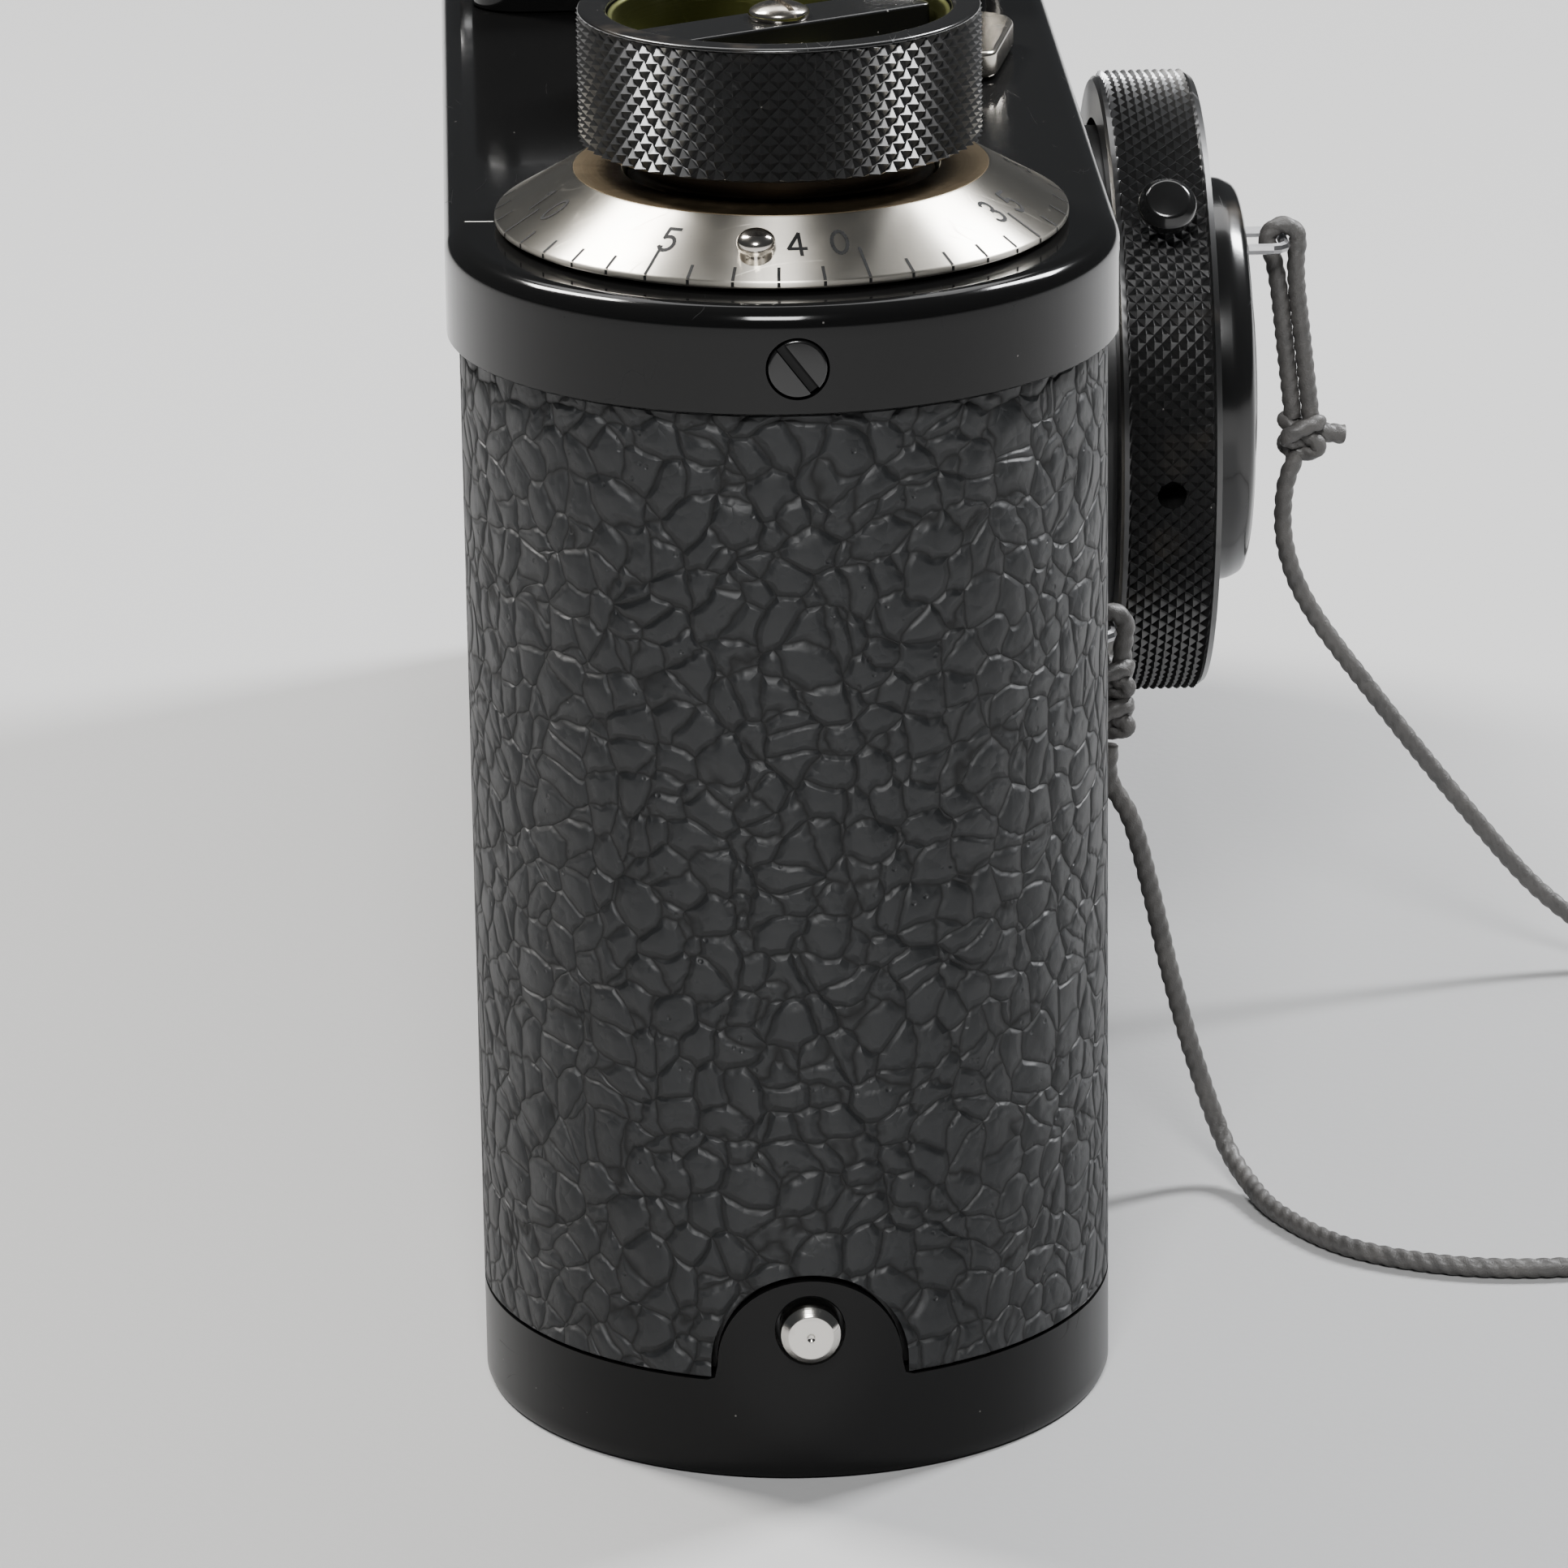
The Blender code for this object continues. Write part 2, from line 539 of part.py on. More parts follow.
def build_winding(asm):
    """Counter dial, wind knob, their shaft and what they turn inside."""
    at = (WIND_X, 0, 0)
    up = (0, 0, 1)
    bore = SHAFT_RADIUS + GAP
    asm.piece("wind_bush", tube(at, up, bore, BUSH_RADIUS, DIAL_Z0, BUSH_TOP), "brass", "body")
    edge = DIAL_Z0 + DIAL_EDGE
    asm.piece("counter_dial", turned([(BUSH_RADIUS + GAP, DIAL_Z0), (DIAL_RADIUS, DIAL_Z0),
                                      (DIAL_RADIUS, edge), (DIAL_FLAT_RADIUS, DIAL_TOP),
                                      (BUSH_RADIUS + GAP, DIAL_TOP)], at, up, ring=True,
                                     steps=DIAL_DIVISIONS), "nickel", "counter")
    slope = math.atan2(DIAL_RISE, DIAL_RADIUS - DIAL_FLAT_RADIUS)
    surface = edge + (DIAL_RADIUS - PIN_CIRCLE) * math.tan(slope)
    out = Vector((math.cos(PIN_ANGLE), math.sin(PIN_ANGLE), 0))
    normal = out * math.sin(slope) + Vector(up) * math.cos(slope)
    foot = Vector(at) + out * PIN_CIRCLE + Vector((0, 0, surface))
    asm.piece("counter_pin", turned([(0, GAP), (PIN_RADIUS, GAP), (PIN_RADIUS, 0.5 * MM),
                                     (PIN_RADIUS * 0.75, 0.9 * MM), (0, 1.08 * MM)],
                                    foot, normal, steps=16), "nickel", "counter")
    cup = KNOB_TOP - CUP_DEPTH
    asm.piece("wind_knob", turned([(bore, KNOB_Z0), (KNOB_RADIUS, KNOB_Z0), (KNOB_RADIUS, KNOB_TOP - 0.3 * MM),
                                   (KNOB_RADIUS - 0.3 * MM, KNOB_TOP), (KNOB_RADIUS - KNOB_WALL, KNOB_TOP),
                                   (KNOB_RADIUS - KNOB_WALL, cup), (bore, cup)], at, up, ring=True),
              "black_paint", "wind")
    asm.piece("wind_shaft", rod(at, up, SHAFT_RADIUS, FILM_Z0 - 4 * MM, BAR_Z0 - GAP), "steel", "wind")
    reach = KNOB_RADIUS - KNOB_WALL - 0.5 * MM
    half = BAR_WIDTH / 2
    along = math.sqrt(reach ** 2 - half ** 2)
    bar = block(-along, along, -half, half, BAR_Z0, BAR_Z0 + BAR_HEIGHT)
    bar.transform(Matrix.Translation(at) @ Matrix.Rotation(BAR_ANGLE, 4, "Z"))
    asm.piece("knob_bar", bar, "black_paint", "wind")
    head = BAR_Z0 + BAR_HEIGHT + GAP
    asm.piece("knob_screw", turned([(0, head), (KNOB_SCREW_RADIUS, head), (KNOB_SCREW_RADIUS, head + 0.3 * MM),
                                    (KNOB_SCREW_RADIUS * 0.6, head + 0.65 * MM), (0, head + 0.75 * MM)],
                                   at, up, steps=24), "nickel", "wind")
    low, high = FILM_Z0 - 0.2 * MM, FILM_Z1 + 0.2 * MM
    asm.piece("take_up_spool", turned([(bore, low - 1 * MM), (SPOOL_FLANGE, low - 1 * MM), (SPOOL_FLANGE, low),
                                       (SPOOL_CORE, low), (SPOOL_CORE, high), (SPOOL_FLANGE, high),
                                       (SPOOL_FLANGE, high + 1 * MM), (bore, high + 1 * MM)], at, up,
                                      ring=True, steps=22), "dark_steel", "wind")
    x, y = WIND_X + SPROCKET_FROM_WIND, SPROCKET_BACK
    root = SPROCKET_RADIUS - 0.4 * MM

    def teeth(z):
        ring = []
        for i in range(32):
            a = 2 * math.pi * i / 32
            r = SPROCKET_RADIUS + (SPROCKET_TOOTH if i % 4 == 0 else 0)
            ring.append((x + r * math.cos(a), y + r * math.sin(a)))
        return at_height(ring, z)

    core = circle(x, y, root, steps=32)
    loops = [at_height(core, low)]
    for z in (low + 3 * MM, high - 4.2 * MM):
        loops += [at_height(core, z), teeth(z), teeth(z + 1.2 * MM), at_height(core, z + 1.2 * MM)]
    loops.append(at_height(core, high))
    asm.piece("sprocket_shaft", loft(loops), "steel", "sprocket")


def build_controls(asm):
    """Speed dial, release button, reverse lever and rewind knob."""
    up = (0, 0, 1)
    x = WIND_X + SPEED_FROM_WIND
    z0 = TOP_Z + GAP
    top = z0 + SPEED_HEIGHT
    bore = SPINDLE_RADIUS + GAP
    asm.piece("speed_dial", turned([(0, top), (SPEED_GRIP - 0.3 * MM, top), (SPEED_GRIP, top - 0.3 * MM),
                                    (SPEED_GRIP, z0 + 2.6 * MM), (SPEED_RADIUS - 0.3 * MM, z0 + 2.6 * MM),
                                    (SPEED_RADIUS, z0 + 2.3 * MM), (SPEED_RADIUS, z0), (bore, z0),
                                    (bore, top - 1.8 * MM), (0, top - 1.8 * MM)], (x, 0, 0)),
              "nickel", "speed")
    asm.piece("speed_spindle", rod((x, 0, 0), up, SPINDLE_RADIUS, FILM_Z1 + 1.6 * MM, top - 1.8 * MM - GAP),
              "steel", "speed")
    x, y = WIND_X + RELEASE_FROM_WIND, -RELEASE_FRONT
    asm.piece("release_collar", tube((x, y, 0), up, RELEASE_RADIUS + GAP, COLLAR_RADIUS, z0,
                                     z0 + 1.5 * MM, 32, edge=0.2 * MM), "nickel", "body")
    asm.piece("release_button", turned([(0, CEILING - 5 * MM), (RELEASE_RADIUS, CEILING - 5 * MM),
                                        (RELEASE_RADIUS, z0 + 2.6 * MM), (RELEASE_RADIUS * 0.7, z0 + 3.0 * MM),
                                        (0, z0 + 3.1 * MM)], (x, y, 0), steps=24), "nickel", "release")
    x, y = WIND_X + LEVER_FROM_WIND, -LEVER_FRONT
    lean = math.asin((LEVER_BOSS - LEVER_TIP) / LEVER_REACH)
    outline = []
    for cx, r, start, sweep in ((x, LEVER_BOSS, -90 - math.degrees(lean), 180 + 2 * math.degrees(lean)),
                                (x - LEVER_REACH, LEVER_TIP, 90 + math.degrees(lean),
                                 180 - 2 * math.degrees(lean))):
        for i in range(9):
            a = math.radians(start + sweep * i / 8)
            outline.append((cx + r * math.cos(a), y + r * math.sin(a)))
    asm.piece("reverse_lever", prism(outline, z0, z0 + 1.3 * MM), "nickel", "reverse")

    x, at = AXIS_X, (AXIS_X, 0, 0)
    knob_z = z0 + 1.1 * MM
    knob_top = knob_z + REWIND_HEIGHT
    bore = REWIND_SHAFT + GAP
    asm.piece("rewind_knob", turned([(0, knob_top - 1.0 * MM), (REWIND_RADIUS - 1.3 * MM, knob_top - 1.0 * MM),
                                     (REWIND_RADIUS - 1.3 * MM, knob_top), (REWIND_RADIUS - 0.3 * MM, knob_top),
                                     (REWIND_RADIUS, knob_top - 0.3 * MM), (REWIND_RADIUS, knob_z),
                                     (bore, knob_z), (bore, knob_top - 2.2 * MM), (0, knob_top - 2.2 * MM)],
                                    at), "black_paint", "rewind")
    spool_top = FILM_Z1 + 1.8 * MM
    asm.piece("rewind_shaft", rod(at, up, REWIND_SHAFT, spool_top + GAP, knob_top - 2.2 * MM - GAP),
              "steel", "rewind")
    asm.piece("rewind_sleeve", tube(at, up, bore, bore + 1.1 * MM, CEILING - 1.4 * MM, knob_z - GAP, 24),
              "brass", "rewind_lift")
    low, high = FILM_Z0 - 2.6 * MM, FILM_Z1 + 1.5 * MM
    hole = 3.4 * MM
    wall = 0.9 * MM
    can = asm.piece("film_cassette", turned([(hole, low), (CASSETTE_RADIUS, low), (CASSETTE_RADIUS, high),
                                             (hole, high), (hole, high - wall),
                                             (CASSETTE_RADIUS - wall, high - wall),
                                             (CASSETTE_RADIUS - wall, low + wall), (hole, low + wall)],
                                            at, up, ring=True, steps=32), "brass", "body")
    asm.cut(can, "film_slot", block(x - CASSETTE_RADIUS - 2 * MM, x - CASSETTE_RADIUS * 0.5, 6.0 * MM,
                                    7.4 * MM, low + 2 * MM, high - 2 * MM))
    asm.piece("cassette_spool", turned([(0, low - 0.8 * MM), (hole - 0.5 * MM, low - 0.8 * MM),
                                        (hole - 0.5 * MM, low + 2 * MM), (CASSETTE_RADIUS - 1.6 * MM, low + 2 * MM),
                                        (CASSETTE_RADIUS - 1.6 * MM, low + 3 * MM), (hole - 0.5 * MM, low + 3 * MM),
                                        (hole - 0.5 * MM, spool_top), (0, spool_top)], at, up, steps=22),
              "black_paint", "cassette")


def build_finder(asm):
    """Housing with its windows and eyepieces, the shoe and the arm."""
    x0, x1 = HOUSING_X0, HOUSING_X1
    house = asm.piece("rangefinder_housing", rounded_pan(
        lambda inset: rounded_box(x0 + inset, x1 - inset, -HOUSING_FRONT + inset, HOUSING_BACK - inset,
                                  HOUSING_CORNER - min(inset, HOUSING_CORNER * 0.6)),
        HOUSING_Z0, HOUSING_TOP, HOUSING_WALL, HOUSING_WALL, 0.9 * MM), "black_paint", "body")
    mid = (x0 + x1) / 2
    z = HOUSING_Z0 + HOUSING_HEIGHT * 0.47
    front_y, back_y = HOUSING_FRONT, HOUSING_BACK
    for side, name in ((-1, "rangefinder_window_near"), (1, "rangefinder_window_far")):
        at = front(mid + side * RF_BASE / 2, z)
        asm.cut(house, name + "_hole", rod(at, FORWARD, RF_WINDOW_RADIUS + GAP, front_y - 3 * MM,
                                           front_y + 3 * MM))
        asm.piece(name, turned([(0, front_y - 1.2 * MM), (RF_WINDOW_RADIUS, front_y - 1.2 * MM),
                                (RF_WINDOW_RADIUS, front_y + 0.7 * MM), (RF_WINDOW_RADIUS - 0.8 * MM, front_y + 0.9 * MM),
                                (RF_WINDOW_RADIUS - 0.8 * MM, front_y - 0.1 * MM), (0, front_y - 0.1 * MM)],
                               at, FORWARD, steps=22), "glass", "body")
    half, tall = FINDER_WIDTH / 2, FINDER_HEIGHT / 2
    asm.cut(house, "finder_hole", block(mid - half - GAP, mid + half + GAP, -front_y - 3 * MM,
                                        -front_y + 3 * MM, z - tall - GAP, z + tall + GAP))
    asm.piece("finder_window", block(mid - half, mid + half, -front_y - 0.3 * MM, -front_y + 1.2 * MM,
                                     z - tall, z + tall), "glass", "body")
    for side, name in ((-1, "rangefinder_eyepiece"), (1, "finder_eyepiece")):
        at = front(mid + side * EYEPIECE_PITCH / 2, z)
        back = (0, 1, 0)
        asm.cut(house, name + "_hole", rod(at, back, EYEPIECE_RADIUS + GAP, back_y - 3 * MM, back_y + 3 * MM))
        asm.piece(name, turned([(0, back_y - 1.2 * MM), (EYEPIECE_RADIUS, back_y - 1.2 * MM),
                                (EYEPIECE_RADIUS, back_y + 0.7 * MM), (EYEPIECE_RADIUS - 0.8 * MM, back_y + 0.9 * MM),
                                (EYEPIECE_RADIUS - 1.1 * MM, back_y), (0, back_y)], at, back, steps=22),
                  "black_paint", "body")
    z0 = HOUSING_TOP + GAP
    half, lip, w, slot = SHOE_WIDTH / 2, 2.2 * MM, SHOE_WALL, SHOE_SLOT
    outline = [(-half, 0), (half, 0), (half, w + slot + w * 0.63), (half - lip, w + slot + w * 0.63),
               (half - lip, w + slot), (half - w, w + slot), (half - w, w), (-half + w, w),
               (-half + w, w + slot), (-half + lip, w + slot), (-half + lip, w + slot + w * 0.63),
               (-half, w + slot + w * 0.63)]
    asm.piece("accessory_shoe", loft([[Vector((mid + x, y, z0 + h)) for x, h in outline]
                                      for y in (-SHOE_LENGTH / 2, SHOE_LENGTH / 2)]), "nickel", "body")
    roller_y = -SLEEVE_BACK + GAP
    pivot_z = CEILING - 2.5 * MM
    foot_z = LENS_Z + (SLEEVE_BORE + SLEEVE_RADIUS) / 2
    arm = [(roller_y, foot_z), (roller_y + 1.6 * MM, foot_z), (roller_y + 4.5 * MM, pivot_z - 1 * MM),
           (roller_y + 4.5 * MM, HOUSING_Z0 + 3 * MM), (roller_y + 3.0 * MM, HOUSING_Z0 + 3 * MM),
           (roller_y + 2.9 * MM, pivot_z), (roller_y, foot_z + 2 * MM)]
    asm.piece("rangefinder_arm", sideways(arm, -0.7 * MM, 0.7 * MM), "steel", "arm")


def build_lens(asm):
    """Flange, focusing sleeve and ring, collapsible tube, optics and cap."""
    at = front(0, LENS_Z)
    bore = SLEEVE_RADIUS + 0.4 * MM
    asm.piece("lens_flange", turned([(bore, FLANGE_BACK), (FLANGE_RADIUS, FLANGE_BACK),
                                     (FLANGE_RADIUS, FLANGE_FACE - 0.6 * MM), (FLANGE_RADIUS - 0.2 * MM, FLANGE_FACE - 0.2 * MM),
                                     (FLANGE_RADIUS - 0.6 * MM, FLANGE_FACE), (bore, FLANGE_FACE)],
                                    at, FORWARD, ring=True, steps=48), "black_paint", "body")
    asm.piece("focus_sleeve", turned([(SLEEVE_BORE, SLEEVE_BACK), (SLEEVE_RADIUS, SLEEVE_BACK),
                                      (SLEEVE_RADIUS, SLEEVE_FACE - 0.3 * MM), (SLEEVE_RADIUS - 0.3 * MM, SLEEVE_FACE),
                                      (COUNTERBORE, SLEEVE_FACE), (COUNTERBORE, COUNTERBORE_BACK),
                                      (SLEEVE_BORE, COUNTERBORE_BACK)], at, FORWARD, ring=True),
              "brass", "sleeve")
    ring = asm.piece("focus_ring", turned([(bore, RING_BACK), (FOCUS_RADIUS - 0.3 * MM, RING_BACK),
                                           (FOCUS_RADIUS, RING_BACK + 0.3 * MM), (FOCUS_RADIUS, RING_FACE - 0.3 * MM),
                                           (FOCUS_RADIUS - 0.3 * MM, RING_FACE), (bore, RING_FACE)],
                                          at, FORWARD, ring=True, steps=48), "black_paint", "focus")
    middle = (RING_BACK + RING_FACE) / 2
    radial = Vector((math.cos(CATCH_ANGLE), 0, math.sin(CATCH_ANGLE)))
    catch_at = Vector((0, -middle, LENS_Z))
    asm.cut(ring, "catch_hole", rod(catch_at, radial, 0.9 * MM, SLEEVE_RADIUS - 1 * MM, FOCUS_RADIUS + 2 * MM, 16))
    seat = FOCUS_RADIUS + CATCH_TRAVEL + 0.4 * MM
    asm.piece("focus_catch", turned([(0, bore + CATCH_TRAVEL + 0.3 * MM), (0.5 * MM, bore + CATCH_TRAVEL + 0.3 * MM),
                                     (0.5 * MM, seat), (CATCH_RADIUS, seat), (CATCH_RADIUS, seat + 0.9 * MM),
                                     (CATCH_RADIUS * 0.6, seat + 1.3 * MM), (0, seat + 1.35 * MM)],
                                    catch_at, radial, steps=20), "black_paint", "catch")
    tube_in = TUBE_RADIUS - TUBE_WALL
    asm.piece("lens_tube", tube(at, FORWARD, tube_in, TUBE_RADIUS, TUBE_FACE - TUBE_LENGTH, TUBE_FACE,
                                edge=0.3 * MM), "nickel", "tube")
    outer = tube_in - GAP
    face = TUBE_FACE - 1.2 * MM
    glass_r = outer * 0.5
    hole = glass_r + GAP
    asm.piece("lens_barrel", turned([(hole, face - 8.4 * MM), (outer, face - 8.4 * MM), (outer, face - 0.3 * MM),
                                     (outer - 0.3 * MM, face), (outer - 1.2 * MM, face), (hole, face - 1.6 * MM)],
                                    at, FORWARD, ring=True, steps=32), "black_paint", "tube")
    asm.piece("front_glass", turned([(0, face - 4.0 * MM), (glass_r * 0.6, face - 3.9 * MM), (glass_r, face - 3.6 * MM),
                                     (glass_r, face - 2.4 * MM), (glass_r * 0.7, face - 1.9 * MM),
                                     (glass_r * 0.35, face - 1.65 * MM), (0, face - 1.55 * MM)],
                                    at, FORWARD, steps=22), "glass", "tube")
    asm.piece("iris_blades", tube(at, FORWARD, glass_r * 0.45, glass_r, face - 4.9 * MM, face - 4.6 * MM, 22),
              "dark_steel", "tube")
    asm.piece("rear_glass", turned([(0, face - 8.2 * MM), (glass_r * 0.7, face - 7.9 * MM), (glass_r, face - 7.4 * MM),
                                    (glass_r, face - 5.6 * MM), (glass_r * 0.6, face - 5.3 * MM),
                                    (0, face - 5.2 * MM)], at, FORWARD, steps=22), "glass", "tube")
    tab_r = outer - 0.2 * MM
    low, high = face + GAP, face + 0.8 * MM
    asm.piece("aperture_ring", turned([(outer - 1.9 * MM, low), (tab_r, low), (tab_r, high),
                                       (outer - 1.9 * MM, high)], at, FORWARD, ring=True, steps=32),
              "nickel", "aperture")

    disc = CAP_INSIDE + CAP_DISC
    asm.piece("lens_cap", turned([(0, CAP_INSIDE), (SKIRT_IN, CAP_INSIDE), (SKIRT_IN, SKIRT_BACK),
                                  (CAP_R, SKIRT_BACK), (CAP_R, disc - 0.9 * MM), (CAP_R - 0.25 * MM, disc - 0.35 * MM),
                                  (CAP_R - 0.8 * MM, disc), (CAP_BOSS + 0.3 * MM, disc),
                                  (CAP_BOSS, disc + CAP_BOSS_RISE - 0.1 * MM),
                                  (CAP_BOSS - 0.3 * MM, disc + CAP_BOSS_RISE), (0, disc + CAP_BOSS_RISE)],
                                 at, FORWARD, steps=32), "black_paint", "cap")


def build_cord(asm):
    """The cap's tether: a loop and knot at each end and the free cord."""
    disc = CAP_INSIDE + CAP_DISC
    clear = GAP + CORD_RADIUS * 2 + GAP + STAPLE_WIRE
    bar = -(disc + CAP_BOSS_RISE + clear)
    bail_z = LENS_Z + CAP_BAIL_Z
    staple(asm, "cap_bail", 0, -(disc + GAP), bar, bail_z, "cap")
    length = 8.9 * MM
    cord_bight(asm, "cap_loop", 0, bar, bail_z, length, "cap", pinch=0.4 * MM)
    knot_top = bail_z - length - GAP
    knot(asm, "cap_knot", 0, bar, knot_top, 3.0 * MM, "cap")

    eye_bar = FRONT - clear
    staple(asm, "cord_eyelet", EYELET_X, FRONT - GAP, eye_bar, EYELET_Z, "body")
    cord_bight(asm, "body_loop", EYELET_X, eye_bar, EYELET_Z, 1.2 * MM, "body")
    knot(asm, "body_knot", EYELET_X, eye_bar, EYELET_Z - 1.2 * MM - GAP, 4.4 * MM, "body")

    points = [Vector(p) * MM for p in CORD_ROUTE]
    points[0] = Vector((0, bar, knot_top - 3.0 * MM - GAP))
    points[1] = Vector((0, bar, knot_top - 4.6 * MM - GAP))
    points[-1] = Vector((EYELET_X, eye_bar, EYELET_Z - 5.6 * MM - 2 * GAP))
    points[-2] = Vector((EYELET_X, eye_bar, EYELET_Z - 7.4 * MM - 2 * GAP))
    wire(asm, "tether_cord", smooth_path(points, 2.6 * MM), CORD_RADIUS, "cord", "cap", 2)


CORD_ROUTE = [
    (0, -28.7, 29.0), (0, -28.7, 27.4), (0, -29.4, 24.2), (0, -30.6, 20.9), (0, -33.9, 15.6),
    (0, -38.4, 9.7), (-0.2, -43.0, 4.3), (-0.8, -47.4, 1.3), (-2.2, -51.8, 0.52), (-5.6, -56.8, 0.5),
    (-11.2, -60.8, 0.5), (-18.4, -62.8, 0.5), (-26.2, -62.4, 0.5), (-33.6, -59.4, 0.5),
    (-39.4, -54.2, 0.5), (-42.8, -47.6, 0.5), (-44.4, -40.4, 0.5), (-44.2, -33.8, 0.5),
    (-41.4, -28.2, 0.5), (-36.6, -25.0, 0.5), (-32.4, -23.6, 0.9), (-30.3, -22.6, 2.4),
    (-30.0, -21.2, 6.6), (-30.0, -20.0, 11.1), (-30.0, -19.0, 15.6), (-30.0, -18.0, 19.4),
    (-30, -17.2, 21.4), (-30, -16.9, 23.2),
]


def build_inside(asm):
    """Shutter crate, curtain drum, curtain and the film's pressure plate."""
    x0, x1 = -27.0 * MM, 37.0 * MM
    back = SHELL_IN
    z0, z1 = FILM_Z0 - 4 * MM, FILM_Z1
    crate = asm.piece("shutter_crate", block(x0, x1, back - 7.6 * MM, back - 5.4 * MM, z0, z1),
                      "dark_steel", "body")
    asm.cut(crate, "crate_window", block(-18.5 * MM, 18.5 * MM, back - 9 * MM, back - 4 * MM,
                                         LENS_Z - 12.5 * MM, LENS_Z + 12.5 * MM))
    asm.piece("shutter_curtain", block(-24 * MM, 24 * MM, back - 5.0 * MM, back - 4.6 * MM,
                                       LENS_Z - 14 * MM, LENS_Z + 14 * MM), "cloth", "body")
    gate = asm.piece("film_gate", block(-23 * MM, 23 * MM, back - 4.2 * MM, back - 3.2 * MM, z0, z1),
                     "dark_steel", "body")
    asm.cut(gate, "gate_window", block(-18 * MM, 18 * MM, back - 6 * MM, back - 2 * MM,
                                       LENS_Z - 12 * MM, LENS_Z + 12 * MM))
    asm.piece("pressure_plate", block(-22 * MM, 22 * MM, back - 2.4 * MM, back - 1.6 * MM,
                                      FILM_Z0 + 0.5 * MM, FILM_Z1 - 0.5 * MM), "dark_steel", "body")
    drum = (-21.0 * MM, -1.5 * MM, 0)
    asm.piece("curtain_drum", turned([(0, z0), (5.0 * MM, z0), (5.0 * MM, z0 + 1.2 * MM), (4.2 * MM, z0 + 1.2 * MM),
                                      (4.2 * MM, z1 - 1.2 * MM), (5.0 * MM, z1 - 1.2 * MM), (5.0 * MM, z1),
                                      (0, z1)], drum, steps=22), "brass", "drum")


def main():
    for obj in list(bpy.data.objects):
        bpy.data.objects.remove(obj, do_unlink=True)
    asm = Assembly()
    end = AXIS_X + COVER_R
    lens = Vector((0, 0, LENS_Z))
    hook = Vector((-end, 0, STUD_Z + STUD_RADIUS))
    lock = Vector((end - LOCK_FROM_END, 0, 0))
    frames = {
        "body": Vector(), "base": hook, "lock": lock, "key": lock + Vector((0, 0, 0.55 * MM)),
        "wind": Vector((WIND_X, 0, 0)), "counter": Vector((WIND_X, 0, 0)),
        "sprocket": Vector((WIND_X + SPROCKET_FROM_WIND, SPROCKET_BACK, 0)),
        "drum": Vector((-21.0 * MM, -1.5 * MM, 0)),
        "speed": Vector((WIND_X + SPEED_FROM_WIND, 0, 0)),
        "release": Vector((WIND_X + RELEASE_FROM_WIND, -RELEASE_FRONT, 0)),
        "reverse": Vector((WIND_X + LEVER_FROM_WIND, -LEVER_FRONT, 0)),
        "rewind": Vector((AXIS_X, 0, 0)), "rewind_lift": Vector((AXIS_X, 0, 0)),
        "cassette": Vector((AXIS_X, 0, 0)), "focus": lens, "sleeve": lens, "catch": lens,
        "tube": lens, "aperture": lens, "cap": lens,
        "arm": Vector((0, -SLEEVE_BACK + GAP + 3.7 * MM, CEILING - 2.5 * MM)),
    }
    for name, at in frames.items():
        asm.frame(name, at)
    build_body(asm)
    build_base(asm)
    build_winding(asm)
    build_controls(asm)
    build_finder(asm)
    build_lens(asm)
    build_cord(asm)
    build_inside(asm)


main()
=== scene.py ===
"""Visual model of a black 35 mm rangefinder camera with a cap on a waxed cord.

Sizes inside the classes are in millimetres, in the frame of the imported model:
+Z up, the lens looks along -Y, the wind knob is at the -X end.
"""

import logging
import math
from dataclasses import dataclass, field
from enum import Enum
from typing import Any, Callable, Sequence

import bmesh
import bpy
import numpy as np
from mathutils import Matrix, Vector


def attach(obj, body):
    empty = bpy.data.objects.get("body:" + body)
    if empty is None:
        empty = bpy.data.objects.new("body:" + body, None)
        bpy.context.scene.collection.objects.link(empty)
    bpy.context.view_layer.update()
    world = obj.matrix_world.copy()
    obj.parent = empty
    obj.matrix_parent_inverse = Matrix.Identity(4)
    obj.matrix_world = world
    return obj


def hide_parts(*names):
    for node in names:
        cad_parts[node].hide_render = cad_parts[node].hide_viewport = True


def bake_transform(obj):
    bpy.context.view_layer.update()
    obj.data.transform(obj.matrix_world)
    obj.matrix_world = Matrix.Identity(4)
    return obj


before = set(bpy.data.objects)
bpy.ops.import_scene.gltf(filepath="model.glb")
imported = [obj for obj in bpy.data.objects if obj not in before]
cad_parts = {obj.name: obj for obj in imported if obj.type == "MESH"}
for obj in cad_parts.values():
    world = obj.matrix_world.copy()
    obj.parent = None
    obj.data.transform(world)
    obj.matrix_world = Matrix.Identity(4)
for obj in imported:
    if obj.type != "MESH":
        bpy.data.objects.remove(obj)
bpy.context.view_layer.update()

log = logging.getLogger("camera")
MM = 0.001
TAU = 2 * math.pi
Point = tuple[float, float, float]
Profile = list[tuple[float, float]]


class Way(Enum):
    """Direction in which a turned piece's distances are counted."""
    UP = (0, 0, 1)
    FRONT = (0, -1, 0)
    BACK = (0, 1, 0)
    NEAR_END = (-1, 0, 0)
    FAR_END = (1, 0, 0)


# ---- sizes shared by several sub-assemblies ---------------------------------
@dataclass(frozen=True)
class CameraSizes:
    """Main sizes of the camera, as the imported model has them."""
    axis_x: float = 51.5
    cover_r: float = 15.0
    base_top: float = 4.86
    top_low: float = 51.66
    top_r: float = 15.56
    top_z: float = 56.6
    lens_z: float = 33.8
    end: float = 66.5


SIZE = CameraSizes()


